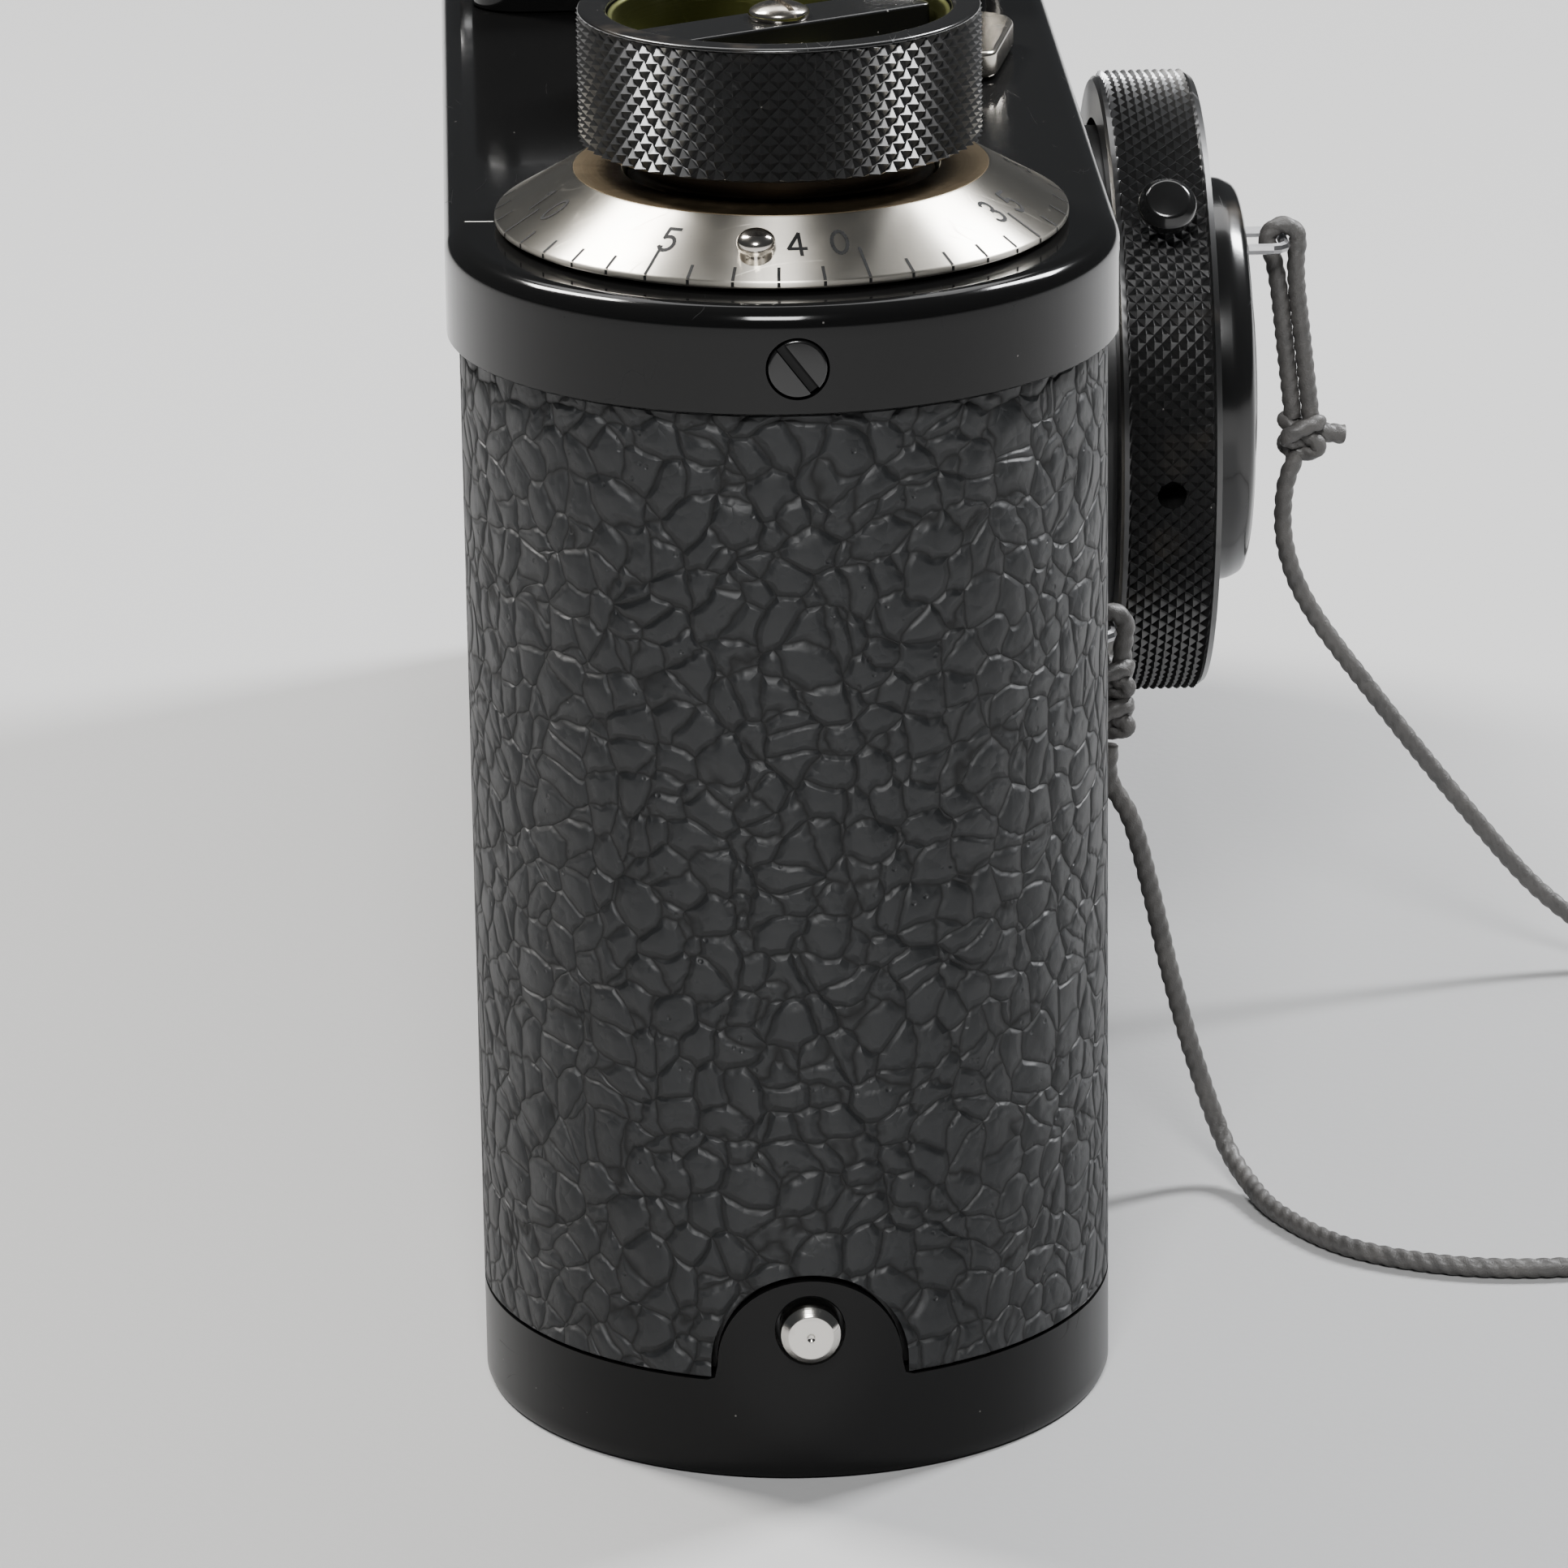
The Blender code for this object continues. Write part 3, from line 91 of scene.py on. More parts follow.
# ---- shader graphs ----------------------------------------------------------
class Sock:
    """A shader value that Python expressions can use."""

    def __init__(self, graph: "Graph", socket: bpy.types.NodeSocket) -> None:
        """Wraps one output socket of a graph."""
        self.graph, self.socket = graph, socket

    def _math(self, operation: str, *values: Any) -> "Sock":
        """Adds one Math node."""
        return self.graph.node("ShaderNodeMath", {"operation": operation}, dict(enumerate(values)))

    def __add__(self, other: Any) -> "Sock":
        """Sum."""
        return self._math("ADD", self, other)

    __radd__ = __add__

    def __sub__(self, other: Any) -> "Sock":
        """Difference."""
        return self._math("SUBTRACT", self, other)

    def __rsub__(self, other: Any) -> "Sock":
        """Difference, the other way round."""
        return self._math("SUBTRACT", other, self)

    def __mul__(self, other: Any) -> "Sock":
        """Product."""
        return self._math("MULTIPLY", self, other)

    __rmul__ = __mul__

    def step(self, low: float, high: float) -> "Sock":
        """Smooth step from 0 at low to 1 at high."""
        return self.graph.node("ShaderNodeMapRange", {"interpolation_type": "SMOOTHSTEP"},
                               {"Value": self, "From Min": low, "From Max": high})


class Graph:
    """The node tree of one material, ending in a Principled shader."""

    def __init__(self, name: str) -> None:
        """Makes an empty material with its shader."""
        self.material = bpy.data.materials.new(name)
        self.material.use_nodes = True
        self.tree = self.material.node_tree
        self.shader = self.tree.nodes["Principled BSDF"]

    def node(self, kind: str, settings: dict[str, Any] | None = None,
             inputs: dict[Any, Any] | None = None, output: Any = 0) -> Sock:
        """Adds a node.

        Args:
            kind: The node's type name.
            settings: Properties set first.
            inputs: Values or socks by socket name or number.
            output: The output socket to return.

        Returns:
            The chosen output.
        """
        made = self.tree.nodes.new(kind)
        for key, value in (settings or {}).items():
            setattr(made, key, value)
        self.feed(made, inputs or {})
        return Sock(self, made.outputs[output])

    def feed(self, node: bpy.types.Node, inputs: dict[Any, Any]) -> None:
        """Sets or links a node's inputs."""
        for key, value in inputs.items():
            if isinstance(value, Sock):
                self.tree.links.new(value.socket, node.inputs[key])
            else:
                node.inputs[key].default_value = value

    def place(self, scale: Point = (1, 1, 1), shift: Point = (0, 0, 0)) -> Sock:
        """Position on the piece in millimetres, shifted and then scaled."""
        at = self.node("ShaderNodeTexCoord", output="Object")
        return self.node("ShaderNodeVectorMath", {"operation": "MULTIPLY_ADD"},
                         {0: at, 1: tuple(s / MM for s in scale),
                          2: tuple(s * k for s, k in zip(shift, scale))})

    def noise(self, at: Sock, scale: float, detail: float = 2.0, rough: float = 0.5) -> Sock:
        """Noise from 0 to 1, with a scale in cycles per millimetre."""
        return self.node("ShaderNodeTexNoise", inputs={"Vector": at, "Scale": scale, "Detail": detail,
                                                       "Roughness": rough})

    def cells(self, at: Sock, scale: float, feature: str = "F1", randomness: float = 1.0) -> Sock:
        """Distance field of random cells."""
        return self.node("ShaderNodeTexVoronoi", {"feature": feature},
                         {"Vector": at, "Scale": scale, "Randomness": randomness}, "Distance")

    def warp(self, at: Sock, scale: float, amount: float) -> Sock:
        """Pushes positions about with coloured noise."""
        push = self.node("ShaderNodeTexNoise", inputs={"Vector": at, "Scale": scale, "Detail": 1.0},
                         output="Color")
        return self.node("ShaderNodeVectorMath", {"operation": "MULTIPLY_ADD"},
                         {0: push, 1: (amount,) * 3, 2: at})

    def mix(self, factor: Sock, low: Any, high: Any) -> Sock:
        """Mixes two colours."""
        return self.node("ShaderNodeMix", {"data_type": "RGBA"}, {0: factor, 6: low, 7: high}, 2)

    def bump(self, height: Sock, depth: float, normal: Sock | None = None) -> Sock:
        """Turns a height from 0 to 1 into a normal, with its depth in millimetres."""
        inputs: dict[Any, Any] = {"Height": height, "Distance": depth * MM, "Strength": 1.0}
        if normal is not None:
            inputs["Normal"] = normal
        return self.node("ShaderNodeBump", inputs=inputs)


def grey(value: float, warm: float = 0.0) -> tuple[float, float, float, float]:
    """A grey colour, warmer or cooler by a share."""
    return (value * (1 + warm), value, value * (1 - warm), 1.0)


# ---- finishes ---------------------------------------------------------------
@dataclass(frozen=True)
class Finish:
    """A finish makes its material once and is then reused."""
    name: str

    def dress(self, g: Graph) -> None:
        """Builds the nodes; each finish has its own."""
        raise NotImplementedError

    def material(self) -> bpy.types.Material:
        """Returns the finish's material, making it the first time."""
        made = bpy.data.materials.get(self.name)
        if made is None:
            graph = Graph(self.name)
            self.dress(graph)
            made = graph.material
        return made


@dataclass(frozen=True)
class Enamel(Finish):
    """Stoved gloss enamel with orange peel, hairlines and stray dust."""
    tone: float = 0.006
    roughness: float = 0.10
    peel: float = 0.0010
    dust: float = 0.25
    rubbed: float = 0.0
    gloss: float = 0.5

    def dress(self, g: Graph) -> None:
        """Builds the nodes."""
        at = g.place()
        cloud = g.noise(at, 0.13, 3)
        peel = g.noise(at, 1.1, 1)
        hair = g.cells(g.warp(g.place((0.06, 0.35, 0.2)), 1.4, 0.9), 1.0, "DISTANCE_TO_EDGE")
        line = (1 - hair.step(0.0, 0.010)) * g.noise(at, 0.35, 2).step(0.52, 0.66)
        speck = (1 - g.cells(at, 0.62).step(0.018, 0.036)) * self.dust
        rub = g.noise(at, 0.09, 4, 0.65).step(0.60, 0.72) * self.rubbed
        base = g.mix(rub, grey(self.tone), grey(0.06, 0.25))
        g.feed(g.shader, {
            "Base Color": g.mix(speck, base, grey(0.42, 0.05)),
            "Roughness": cloud * 0.07 + (self.roughness - 0.03) + line * 0.22 + speck * 0.5 + rub * 0.2,
            "Normal": g.bump(peel + line * -0.6 + g.noise(at, 0.25, 1) * 3, self.peel),
            "Specular IOR Level": self.gloss, "Coat Roughness": 0.04, "Coat Weight": self.gloss * 0.4})


@dataclass(frozen=True)
class Vulcanite(Finish):
    """Hard black rubber pressed with a pattern of flat-topped pebbles, the grooves between them darkened with
    painted shade.
    """
    cell: float = 1.70
    depth: float = 0.30

    def dress(self, g: Graph) -> None:
        """Builds the nodes."""
        at = g.place()
        bent = g.warp(g.warp(at, 0.22, 2.6), 0.9, 0.5)
        near = g.cells(bent, 1 / self.cell, randomness=0.88)
        edge = g.cells(bent, 1 / self.cell, "DISTANCE_TO_EDGE", 0.88)
        # This mask is 0 in the grooves and 1 on the pebble tops; the base colour below paints the grooves
        # near-black as shade.
        groove_shade_mask = edge.step(-0.01, 0.07)
        inner = g.cells(g.warp(at, 1.0, 0.7), 2.1 / self.cell)
        patch = g.noise(at, 0.24, 2).step(0.40, 0.62)
        lumps = g.noise(at, 0.62, 2, 0.4)
        dents = (1 - g.cells(at, 1.25).step(0.05, 0.20)) * g.noise(at, 0.55, 1).step(0.50, 0.58)
        relief = edge.step(-0.05, 0.18) * 0.60 - near * near * 1.55 - inner * inner * patch * 0.35 \
            + lumps * 0.70 - dents * 0.22
        grit = g.noise(at, 8.0, 3, 0.7)
        wax = g.noise(at, 0.5, 3)
        g.feed(g.shader, {
            # Painted shade: the grooves' base colour is near-black, darker than the pebble tops.
            "Base Color": g.mix(groove_shade_mask, grey(0.0008), grey(0.0100, -0.08)),
            "Roughness": 0.74 - groove_shade_mask * 0.27 + wax * 0.14 - grit.step(0.62, 0.8) * 0.14,
            "Normal": g.bump(relief, self.depth, g.bump(grit, 0.010)), "Specular IOR Level": 0.45})


@dataclass(frozen=True)
class Metal(Finish):
    """Bare or plated metal, with turning marks round an axis if it has one."""
    colour: Point = (0.64, 0.60, 0.53)
    roughness: float = 0.20
    axis: Way | None = None
    centre: Point = (0, 0, 0)
    marks: float = 0.010
    pitch: float = 0.055
    tarnish: float = 0.35
    stain: Point = (0.24, 0.17, 0.09)
    fan: float = 0.0

    def dress(self, g: Graph) -> None:
        """Builds the nodes."""
        at = g.place()
        cloud = g.noise(at, 0.30, 4, 0.62)
        age = cloud.step(0.50, 0.74) * self.tarnish
        grime = (1 - g.cells(at, 0.9).step(0.03, 0.09)) * self.tarnish
        scratch = g.cells(g.warp(g.place((0.5, 0.08, 0.3)), 1.1, 0.8), 1.0, "DISTANCE_TO_EDGE")
        line = (1 - scratch.step(0.0, 0.016)) * g.noise(at, 0.7, 2).step(0.5, 0.62)
        height = line * -0.4 if self.axis else line * -0.4 + g.noise(at, 5.0, 2) * 0.12
        if self.axis is not None:
            flat = tuple(0.0 if abs(a) > 0.5 else 1.0 for a in self.axis.value)
            along = tuple(1.0 - f for f in flat)
            shift = tuple(-c for c in self.centre)
            radius = g.node("ShaderNodeVectorMath", {"operation": "LENGTH"},
                            {0: g.place(flat, shift)}, "Value")
            reach = g.node("ShaderNodeVectorMath", {"operation": "LENGTH"},
                           {0: g.place(along, (500, 500, 500))}, "Value")
            turned = g.node("ShaderNodeTexNoise", {"noise_dimensions": "1D"},
                            {"W": radius + reach, "Scale": 1 / self.pitch, "Detail": 3.0,
                             "Roughness": 0.6})
            height = height + turned
        g.feed(g.shader, {
            "Base Color": g.mix(age + grime * 0.8, (*self.colour, 1), (*self.stain, 1)),
            "Metallic": 1 - grime * 0.5,
            "Roughness": cloud * 0.10 + (self.roughness - 0.05) + age * 0.22 + line * 0.1,
            "Normal": g.bump(height, self.marks),
            "Anisotropic": self.fan, "Anisotropic Rotation": 0.25 if self.fan else 0.0})


@dataclass(frozen=True)
class Glass(Finish):
    """Clear or bloomed glass with faint smears."""
    tint: Point = (0.86, 0.9, 0.96)

    def dress(self, g: Graph) -> None:
        """Builds the nodes."""
        smear = g.noise(g.warp(g.place(), 0.5, 1.4), 0.45, 3).step(0.48, 0.75)
        g.feed(g.shader, {"Base Color": g.mix(smear * 0.3, (*self.tint, 1), grey(0.75)),
                          "Roughness": smear * 0.06 + 0.015, "Transmission Weight": 0.92,
                          "IOR": 1.52, "Coat Weight": 0.4, "Coat Roughness": 0.03})


@dataclass(frozen=True)
class Cloth(Finish):
    """Woven cloth, plain or rubberised."""
    tone: float = 0.008
    threads: float = 3.2

    def dress(self, g: Graph) -> None:
        """Builds the nodes."""
        at = g.place()
        warp = g.node("ShaderNodeTexWave", {"bands_direction": "X"}, {"Vector": at, "Scale": self.threads},
                      "Fac")
        weft = g.node("ShaderNodeTexWave", {"bands_direction": "Z"}, {"Vector": at, "Scale": self.threads},
                      "Fac")
        weave = warp * weft
        g.feed(g.shader, {"Base Color": g.mix(weave, grey(self.tone * 0.5), grey(self.tone * 1.6)),
                          "Roughness": g.noise(at, 0.8) * 0.2 + 0.7, "Normal": g.bump(weave, 0.05)})


@dataclass(frozen=True)
class WaxedCord(Finish):
    """Black waxed thread with a dull shine and fine fibres."""
    tone: float = 0.052

    def dress(self, g: Graph) -> None:
        """Builds the nodes."""
        at = g.place()
        fibre = g.noise(g.warp(at, 1.5, 0.5), 9.0, 3, 0.6)
        wax = g.noise(at, 0.7, 3)
        g.feed(g.shader, {"Base Color": g.mix(wax, grey(self.tone * 0.6), grey(self.tone * 1.8, 0.06)),
                          "Roughness": wax * 0.2 + fibre * 0.15 + 0.32, "Normal": g.bump(fibre, 0.04),
                          "Coat Weight": 0.12, "Coat Roughness": 0.3})


@dataclass(frozen=True)
class Fill(Finish):
    """Paint rubbed into an engraving; the black one is also laid in the end screws' slots as painted shade.
    """
    colour: Point = (0.01, 0.01, 0.01)
    roughness: float = 0.45

    def dress(self, g: Graph) -> None:
        """Builds the nodes."""
        worn = g.noise(g.place(), 3.0, 3)
        dim = tuple(c * 0.72 + 0.004 for c in self.colour)
        g.feed(g.shader, {"Base Color": g.mix(worn, (*self.colour, 1), (*dim, 1)),
                          "Roughness": worn * 0.2 + self.roughness,
                          "Normal": g.bump(worn, 0.01), "Specular IOR Level": 0.12})


@dataclass(frozen=True)
class StudioPaper(Finish):
    """The pale sweep that the camera stands on."""
    tone: float = 0.35

    def dress(self, g: Graph) -> None:
        """Builds the nodes."""
        tooth = g.noise(g.place(), 1.6, 3)
        sheet = g.mix(g.noise(g.place(), 0.01, 2), grey(self.tone), grey(self.tone * 1.06))
        g.feed(g.shader, {"Base Color": sheet, "Roughness": tooth * 0.1 + 0.62,
                          "Normal": g.bump(tooth, 0.02)})


BLACK = Enamel("black_enamel", tone=0.004, gloss=0.25)
BLACK_WORN = Enamel("black_enamel_handled", roughness=0.17, dust=0.4, rubbed=0.5)
BLACK_KNURL = Enamel("black_enamel_knurl", tone=0.008, roughness=0.29, peel=0.003, dust=0.3,
                     rubbed=0.2, gloss=0.7)
BASE_BLACK = Enamel("black_base_enamel", tone=0.0035, roughness=0.34, dust=0.25, gloss=0.16)
SATIN = Enamel("black_satin", tone=0.008, roughness=0.34, peel=0.002, dust=0.5)
PEBBLE = Vulcanite("pebbled_covering")
DIAL_NICKEL = Metal("dial_nickel", (0.72, 0.68, 0.60), 0.34, Way.UP, (-51.5, 0, 0), 0.003, 0.14, 0.12,
                    fan=0.95)
# The dial's flat: a worn warm tone, darkened further as painted shade from the knob above it.
DIAL_FLAT_WORN_AND_SHADED = Metal("dial_flat_worn_and_shaded", (0.15, 0.115, 0.07), 0.42, Way.UP, (-51.5, 0, 0), 0.006, 0.12, 0.6,
                  (0.07, 0.05, 0.03))
NICKEL = Metal("nickel_plate")
PIN_NICKEL = Metal("polished_nickel", (0.70, 0.66, 0.60), 0.12, marks=0.004, tarnish=0.5)
LENS_NICKEL = Metal("lens_nickel", (0.66, 0.62, 0.55), 0.2, Way.FRONT, (0, 0, 33.8), 0.008, 0.06, 0.2)
BRASS = Metal("machined_brass", (0.50, 0.33, 0.13), 0.28, Way.UP, (0, 0, 0), 0.006, 0.1, 0.5)
BROWNED = Metal("browned_brass", (0.045, 0.035, 0.026), 0.40, Way.UP, (-51.5, 0, 0), 0.010, 0.08, 0.6,
                (0.05, 0.035, 0.02))
OLIVE = Metal("olive_brass", (0.10, 0.105, 0.035), 0.40, Way.UP, (-51.5, 0, 0), 0.008, 0.12, 0.7,
              (0.02, 0.02, 0.012))
STEEL = Metal("machined_steel", (0.36, 0.36, 0.37), 0.3, tarnish=0.2, stain=(0.1, 0.08, 0.06))
BLACKENED = Metal("blackened_steel", (0.035, 0.035, 0.038), 0.38, tarnish=0.3, stain=(0.02, 0.018, 0.016))
CLEAR = Glass("clear_glass")
BLOOMED = Glass("lens_glass", (0.62, 0.66, 0.9))
CURTAIN = Cloth("rubberised_cloth")
CORD = WaxedCord("waxed_cord")
BLACK_FILL_AND_SLOT_SHADE = Fill("black_filling_and_slot_shade")
WHITE_FILL = Fill("white_filling", (0.62, 0.61, 0.57))


# ---- shapes -----------------------------------------------------------------
@dataclass
class Shape:
    """Vertices in millimetres and faces, before they become an object."""
    verts: list[Sequence[float]] = field(default_factory=list)
    faces: list[tuple[int, ...]] = field(default_factory=list)

    def join(self, other: "Shape") -> "Shape":
        """Adds another shape's faces to this one."""
        start = len(self.verts)
        self.verts += list(other.verts)
        self.faces += [tuple(i + start for i in f) for f in other.faces]
        return self

    def moved(self, matrix: Matrix) -> "Shape":
        """Returns the shape transformed by a matrix."""
        return Shape([tuple(matrix @ Vector(v)) for v in self.verts], list(self.faces))


def loft(loops: Sequence[Sequence[Sequence[float]]], closed: bool = False,
         split: Callable[[int, int], bool | None] | None = None) -> Shape:
    """Joins loops of equal length into a skin.

    Args:
        loops: The loops, in order.
        closed: Whether the last loop joins the first; otherwise both are capped.
        split: Says for a loop and a column which diagonal divides the quad, if any.

    Returns:
        The closed skin.
    """
    count = len(loops[0])
    shape = Shape([tuple(p) for loop in loops for p in loop])
    last = len(loops) if closed else len(loops) - 1
    for k in range(last):
        low, high = k * count, ((k + 1) % len(loops)) * count
        for i in range(count):
            j = (i + 1) % count
            a, b, c, d = low + i, low + j, high + j, high + i
            way = split(k, i) if split else None
            if way is None:
                shape.faces.append((a, b, c, d))
            elif way:
                shape.faces += [(a, b, c), (a, c, d)]
            else:
                shape.faces += [(a, b, d), (b, c, d)]
    if not closed:
        shape.faces += [tuple(range(count)), tuple(range((len(loops) - 1) * count, len(loops) * count))]
    return shape


def eased(profile: Profile, radius: float, ring: bool = False, steps: int = 4) -> Profile:
    """Rounds a profile's corners.

    Args:
        profile: Corner points.
        radius: How far from each corner the rounding starts.
        ring: Whether the profile closes on itself.
        steps: Points along each rounding.

    Returns:
        The rounded profile.
    """
    count, result = len(profile), []
    for i, p in enumerate(profile):
        if not ring and i in (0, count - 1):
            result.append(p)
            continue
        here, before, after = (Vector(q) for q in (p, profile[i - 1], profile[(i + 1) % count]))
        a, b = before - here, after - here
        cut = min(radius, a.length * 0.45, b.length * 0.45)
        start, stop = here + a.normalized() * cut, here + b.normalized() * cut
        for k in range(steps + 1):
            t = k / steps
            result.append(tuple(start * (1 - t) ** 2 + here * 2 * t * (1 - t) + stop * t * t))
    return result


def aim(centre: Point, way: Sequence[float]) -> Matrix:
    """Matrix that carries a piece turned about +Z to a centre and direction."""
    turn = Vector((0, 0, 1)).rotation_difference(Vector(way).normalized()).to_matrix().to_4x4()
    return Matrix.Translation(Vector(centre)) @ turn


def lathe(profile: Profile, centre: Point = (0, 0, 0), way: Sequence[float] = (0, 0, 1),
          ring: bool = False, steps: int = 96, ease: float = 0.12) -> Shape:
    """Turns a profile of (radius, distance) points about an axis.

    Args:
        profile: From axis to axis, or a closed section when ring is true.
        centre: A point on the axis.
        way: The direction in which distances grow.
        ring: Whether the section closes on itself.
        steps: Divisions round the axis.
        ease: Rounding of the profile's corners.

    Returns:
        The turned shape.
    """
    points = eased(profile, ease, ring) if ease else profile
    loops = [[(max(r, 0.004) * math.cos(TAU * i / steps), max(r, 0.004) * math.sin(TAU * i / steps), a)
              for i in range(steps)] for r, a in points]
    return loft(loops, ring).moved(aim(centre, way))


@dataclass(frozen=True)
class Knurl:
    """A band of small four-sided points, cut by two crossing spirals."""
    radius: float
    low: float
    high: float
    columns: int
    rows: int
    depth: float = 0.34

    def turn(self, before: Profile, after: Profile, centre: Point, way: Sequence[float],
             ring: bool = True) -> Shape:
        """Turns a piece whose outside carries the band.

        Args:
            before: Profile up to the band's lower edge.
            after: Profile from the band's upper edge on.
            centre: A point on the axis.
            way: The direction in which distances grow.
            ring: Whether the section closes on itself.

        Returns:
            The turned shape.
        """
        steps, levels = self.columns * 2, self.rows * 2
        first = len(before)

        def circle(r: float, a: float, valley: float = 0.0, odd: int = 0) -> list[Point]:
            """A ring of points, every other one of them sunk."""
            return [((r - valley * ((i + odd) % 2)) * math.cos(TAU * i / steps),
                     (r - valley * ((i + odd) % 2)) * math.sin(TAU * i / steps), a) for i in range(steps)]

        loops = [circle(max(r, 0.004), a) for r, a in before]
        loops += [circle(self.radius, self.low + (self.high - self.low) * k / levels, self.depth, k)
                  for k in range(levels + 1)]
        loops += [circle(max(r, 0.004), a) for r, a in after]

        def split(k: int, i: int) -> bool | None:
            """Divides a quad along the valley, which leaves the points sharp."""
            row = k - first
            return (i + row) % 2 == 1 if 0 <= row < levels else None

        return loft(loops, ring, split).moved(aim(centre, way))


def stadium(radius: float, steps: int = 48, half: float = SIZE.axis_x) -> list[tuple[float, float]]:
    """Outline of the body: two half circles joined by straight sides."""
    points = []
    for side in (1, -1):
        for i in range(steps + 1):
            a = math.pi * (i / steps - 0.5)
            points.append((side * (half + radius * math.cos(a)), side * radius * math.sin(a)))
    return points


def rounded_box(x0: float, x1: float, y0: float, y1: float, corner: float,
                steps: int = 8) -> list[tuple[float, float]]:
    """Outline of a rectangle with rounded corners."""
    points = []
    for cx, cy, start in ((x1 - corner, y1 - corner, 0), (x0 + corner, y1 - corner, 90),
                          (x0 + corner, y0 + corner, 180), (x1 - corner, y0 + corner, 270)):
        for i in range(steps + 1):
            a = math.radians(start + 90 * i / steps)
            points.append((cx + corner * math.cos(a), cy + corner * math.sin(a)))
    return points


def level(outline: Sequence[tuple[float, float]], z: float) -> list[Point]:
    """Lifts a flat outline to a height."""
    return [(x, y, z) for x, y in outline]


def prism(outline: Sequence[tuple[float, float]], z0: float, z1: float) -> Shape:
    """Extrudes a flat outline upward."""
    return loft([level(outline, z0), level(outline, z1)])


def slab(x0: float, x1: float, y0: float, y1: float, z0: float, z1: float) -> Shape:
    """A block between two corners, to be bevelled when it is placed."""
    return prism([(x0, y0), (x1, y0), (x1, y1), (x0, y1)], z0, z1)


def pan(outline: Callable[[float], list[tuple[float, float]]], z_open: float, z_shut: float,
        wall: float, floor: float, fillet: float, steps: int = 8, rows: int = 8) -> Shape:
    """An open pan with a rounded rim, from an outline given by its inset."""
    sign = 1 if z_shut > z_open else -1
    loops = [level(outline(wall), z_shut - sign * floor), level(outline(wall), z_open + sign * 0.1),
             level(outline(wall - 0.1), z_open), level(outline(0.08), z_open),
             level(outline(0), z_open + sign * 0.08)]
    loops += [level(outline(0), z_open + (z_shut - sign * fillet - z_open) * k / rows)
              for k in range(1, rows)]
    for i in range(steps + 1):
        a = math.radians(90 * i / steps)
        loops.append(level(outline(fillet * (1 - math.cos(a))), z_shut - sign * fillet * (1 - math.sin(a))))
    return loft(loops)


def sweep(path: Sequence[Vector], radius: float, sides: int = 16, strands: int = 0,
          twist: float = 3.0, groove: float = 0.18) -> Shape:
    """Carries a round or stranded section along a path.

    Args:
        path: Points in millimetres.
        radius: Outer radius.
        sides: Points round the section.
        strands: How many twisted strands show, or none.
        twist: Length of one full turn of the strands.
        groove: Depth between strands, as a share of the radius.

    Returns:
        The closed tube.
    """
    loops, normal, travelled = [], None, 0.0
    for i, p in enumerate(path):
        ahead, behind = path[min(i + 1, len(path) - 1)], path[max(i - 1, 0)]
        tangent = (ahead - behind).normalized()
        if normal is None:
            normal = tangent.orthogonal().normalized()
        normal = (normal - tangent * normal.dot(tangent)).normalized()
        side = tangent.cross(normal)
        if i:
            travelled += (p - path[i - 1]).length
        ring = []
        for k in range(sides):
            a = TAU * k / sides
            r = radius
            if strands:
                lay = strands * (a - TAU * travelled / twist) / 2
                r *= 1 - groove * (1 - abs(math.cos(lay)))
            ring.append(p + normal * (r * math.cos(a)) + side * (r * math.sin(a)))
        loops.append(ring)
    return loft(loops)


def smooth_path(points: Sequence[Vector], spacing: float) -> list[Vector]:
    """Reads evenly spaced points from a smooth curve through given ones."""
    fine: list[Vector] = []
    ends = [points[0] * 2 - points[1], *points, points[-1] * 2 - points[-2]]
    for p0, p1, p2, p3 in zip(ends, ends[1:], ends[2:], ends[3:]):
        for i in range(24):
            t = i / 24
            fine.append(0.5 * ((2 * p1) + (p2 - p0) * t + (2 * p0 - 5 * p1 + 4 * p2 - p3) * t ** 2
                               + (3 * p1 - p0 - 3 * p2 + p3) * t ** 3))
    fine.append(points[-1])
    steps = np.array([(b - a).length for a, b in zip(fine, fine[1:])])
    at = np.concatenate([[0.0], np.cumsum(steps)])
    wanted = np.linspace(0, at[-1], max(4, round(at[-1] / spacing)) + 1)
    table = np.array([tuple(p) for p in fine])
    return [Vector(tuple(np.interp(w, at, table[:, k]) for k in range(3))) for w in wanted]


# ---- placing pieces ---------------------------------------------------------
def mesh_of(name: str, shape: Shape, sharp: float) -> bpy.types.Mesh:
    """Turns a shape into a shaded mesh in metres with faces pointing out."""
    mesh = bpy.data.meshes.new(name)
    mesh.from_pydata([tuple(c * MM for c in v) for v in shape.verts], [], shape.faces)
    bm = bmesh.new()
    bm.from_mesh(mesh)
    bmesh.ops.recalc_face_normals(bm, faces=bm.faces)
    bm.to_mesh(mesh)
    bm.free()
    mesh.shade_smooth()
    mesh.set_sharp_from_angle(angle=math.radians(sharp))
    return mesh


def carve(obj: bpy.types.Object, *cutters: Shape) -> None:
    """Cuts shapes out of an object and keeps only the result."""
    made = []
    for i, shape in enumerate(cutters):
        cutter = bpy.data.objects.new(f"cutter_{i}", mesh_of("cutter", shape, 30))
        bpy.context.collection.objects.link(cutter)
        modifier = obj.modifiers.new("cut", "BOOLEAN")
        modifier.object, modifier.solver = cutter, "EXACT"
        made.append(cutter)
    seen = obj.evaluated_get(bpy.context.evaluated_depsgraph_get())
    mesh = bpy.data.meshes.new_from_object(seen)
    obj.modifiers.clear()
    obj.data = mesh
    mesh.set_sharp_from_angle(angle=math.radians(30))
    for cutter in made:
        bpy.data.objects.remove(cutter, do_unlink=True)
    obj.modifiers.new("shading", "WEIGHTED_NORMAL").keep_sharp = True


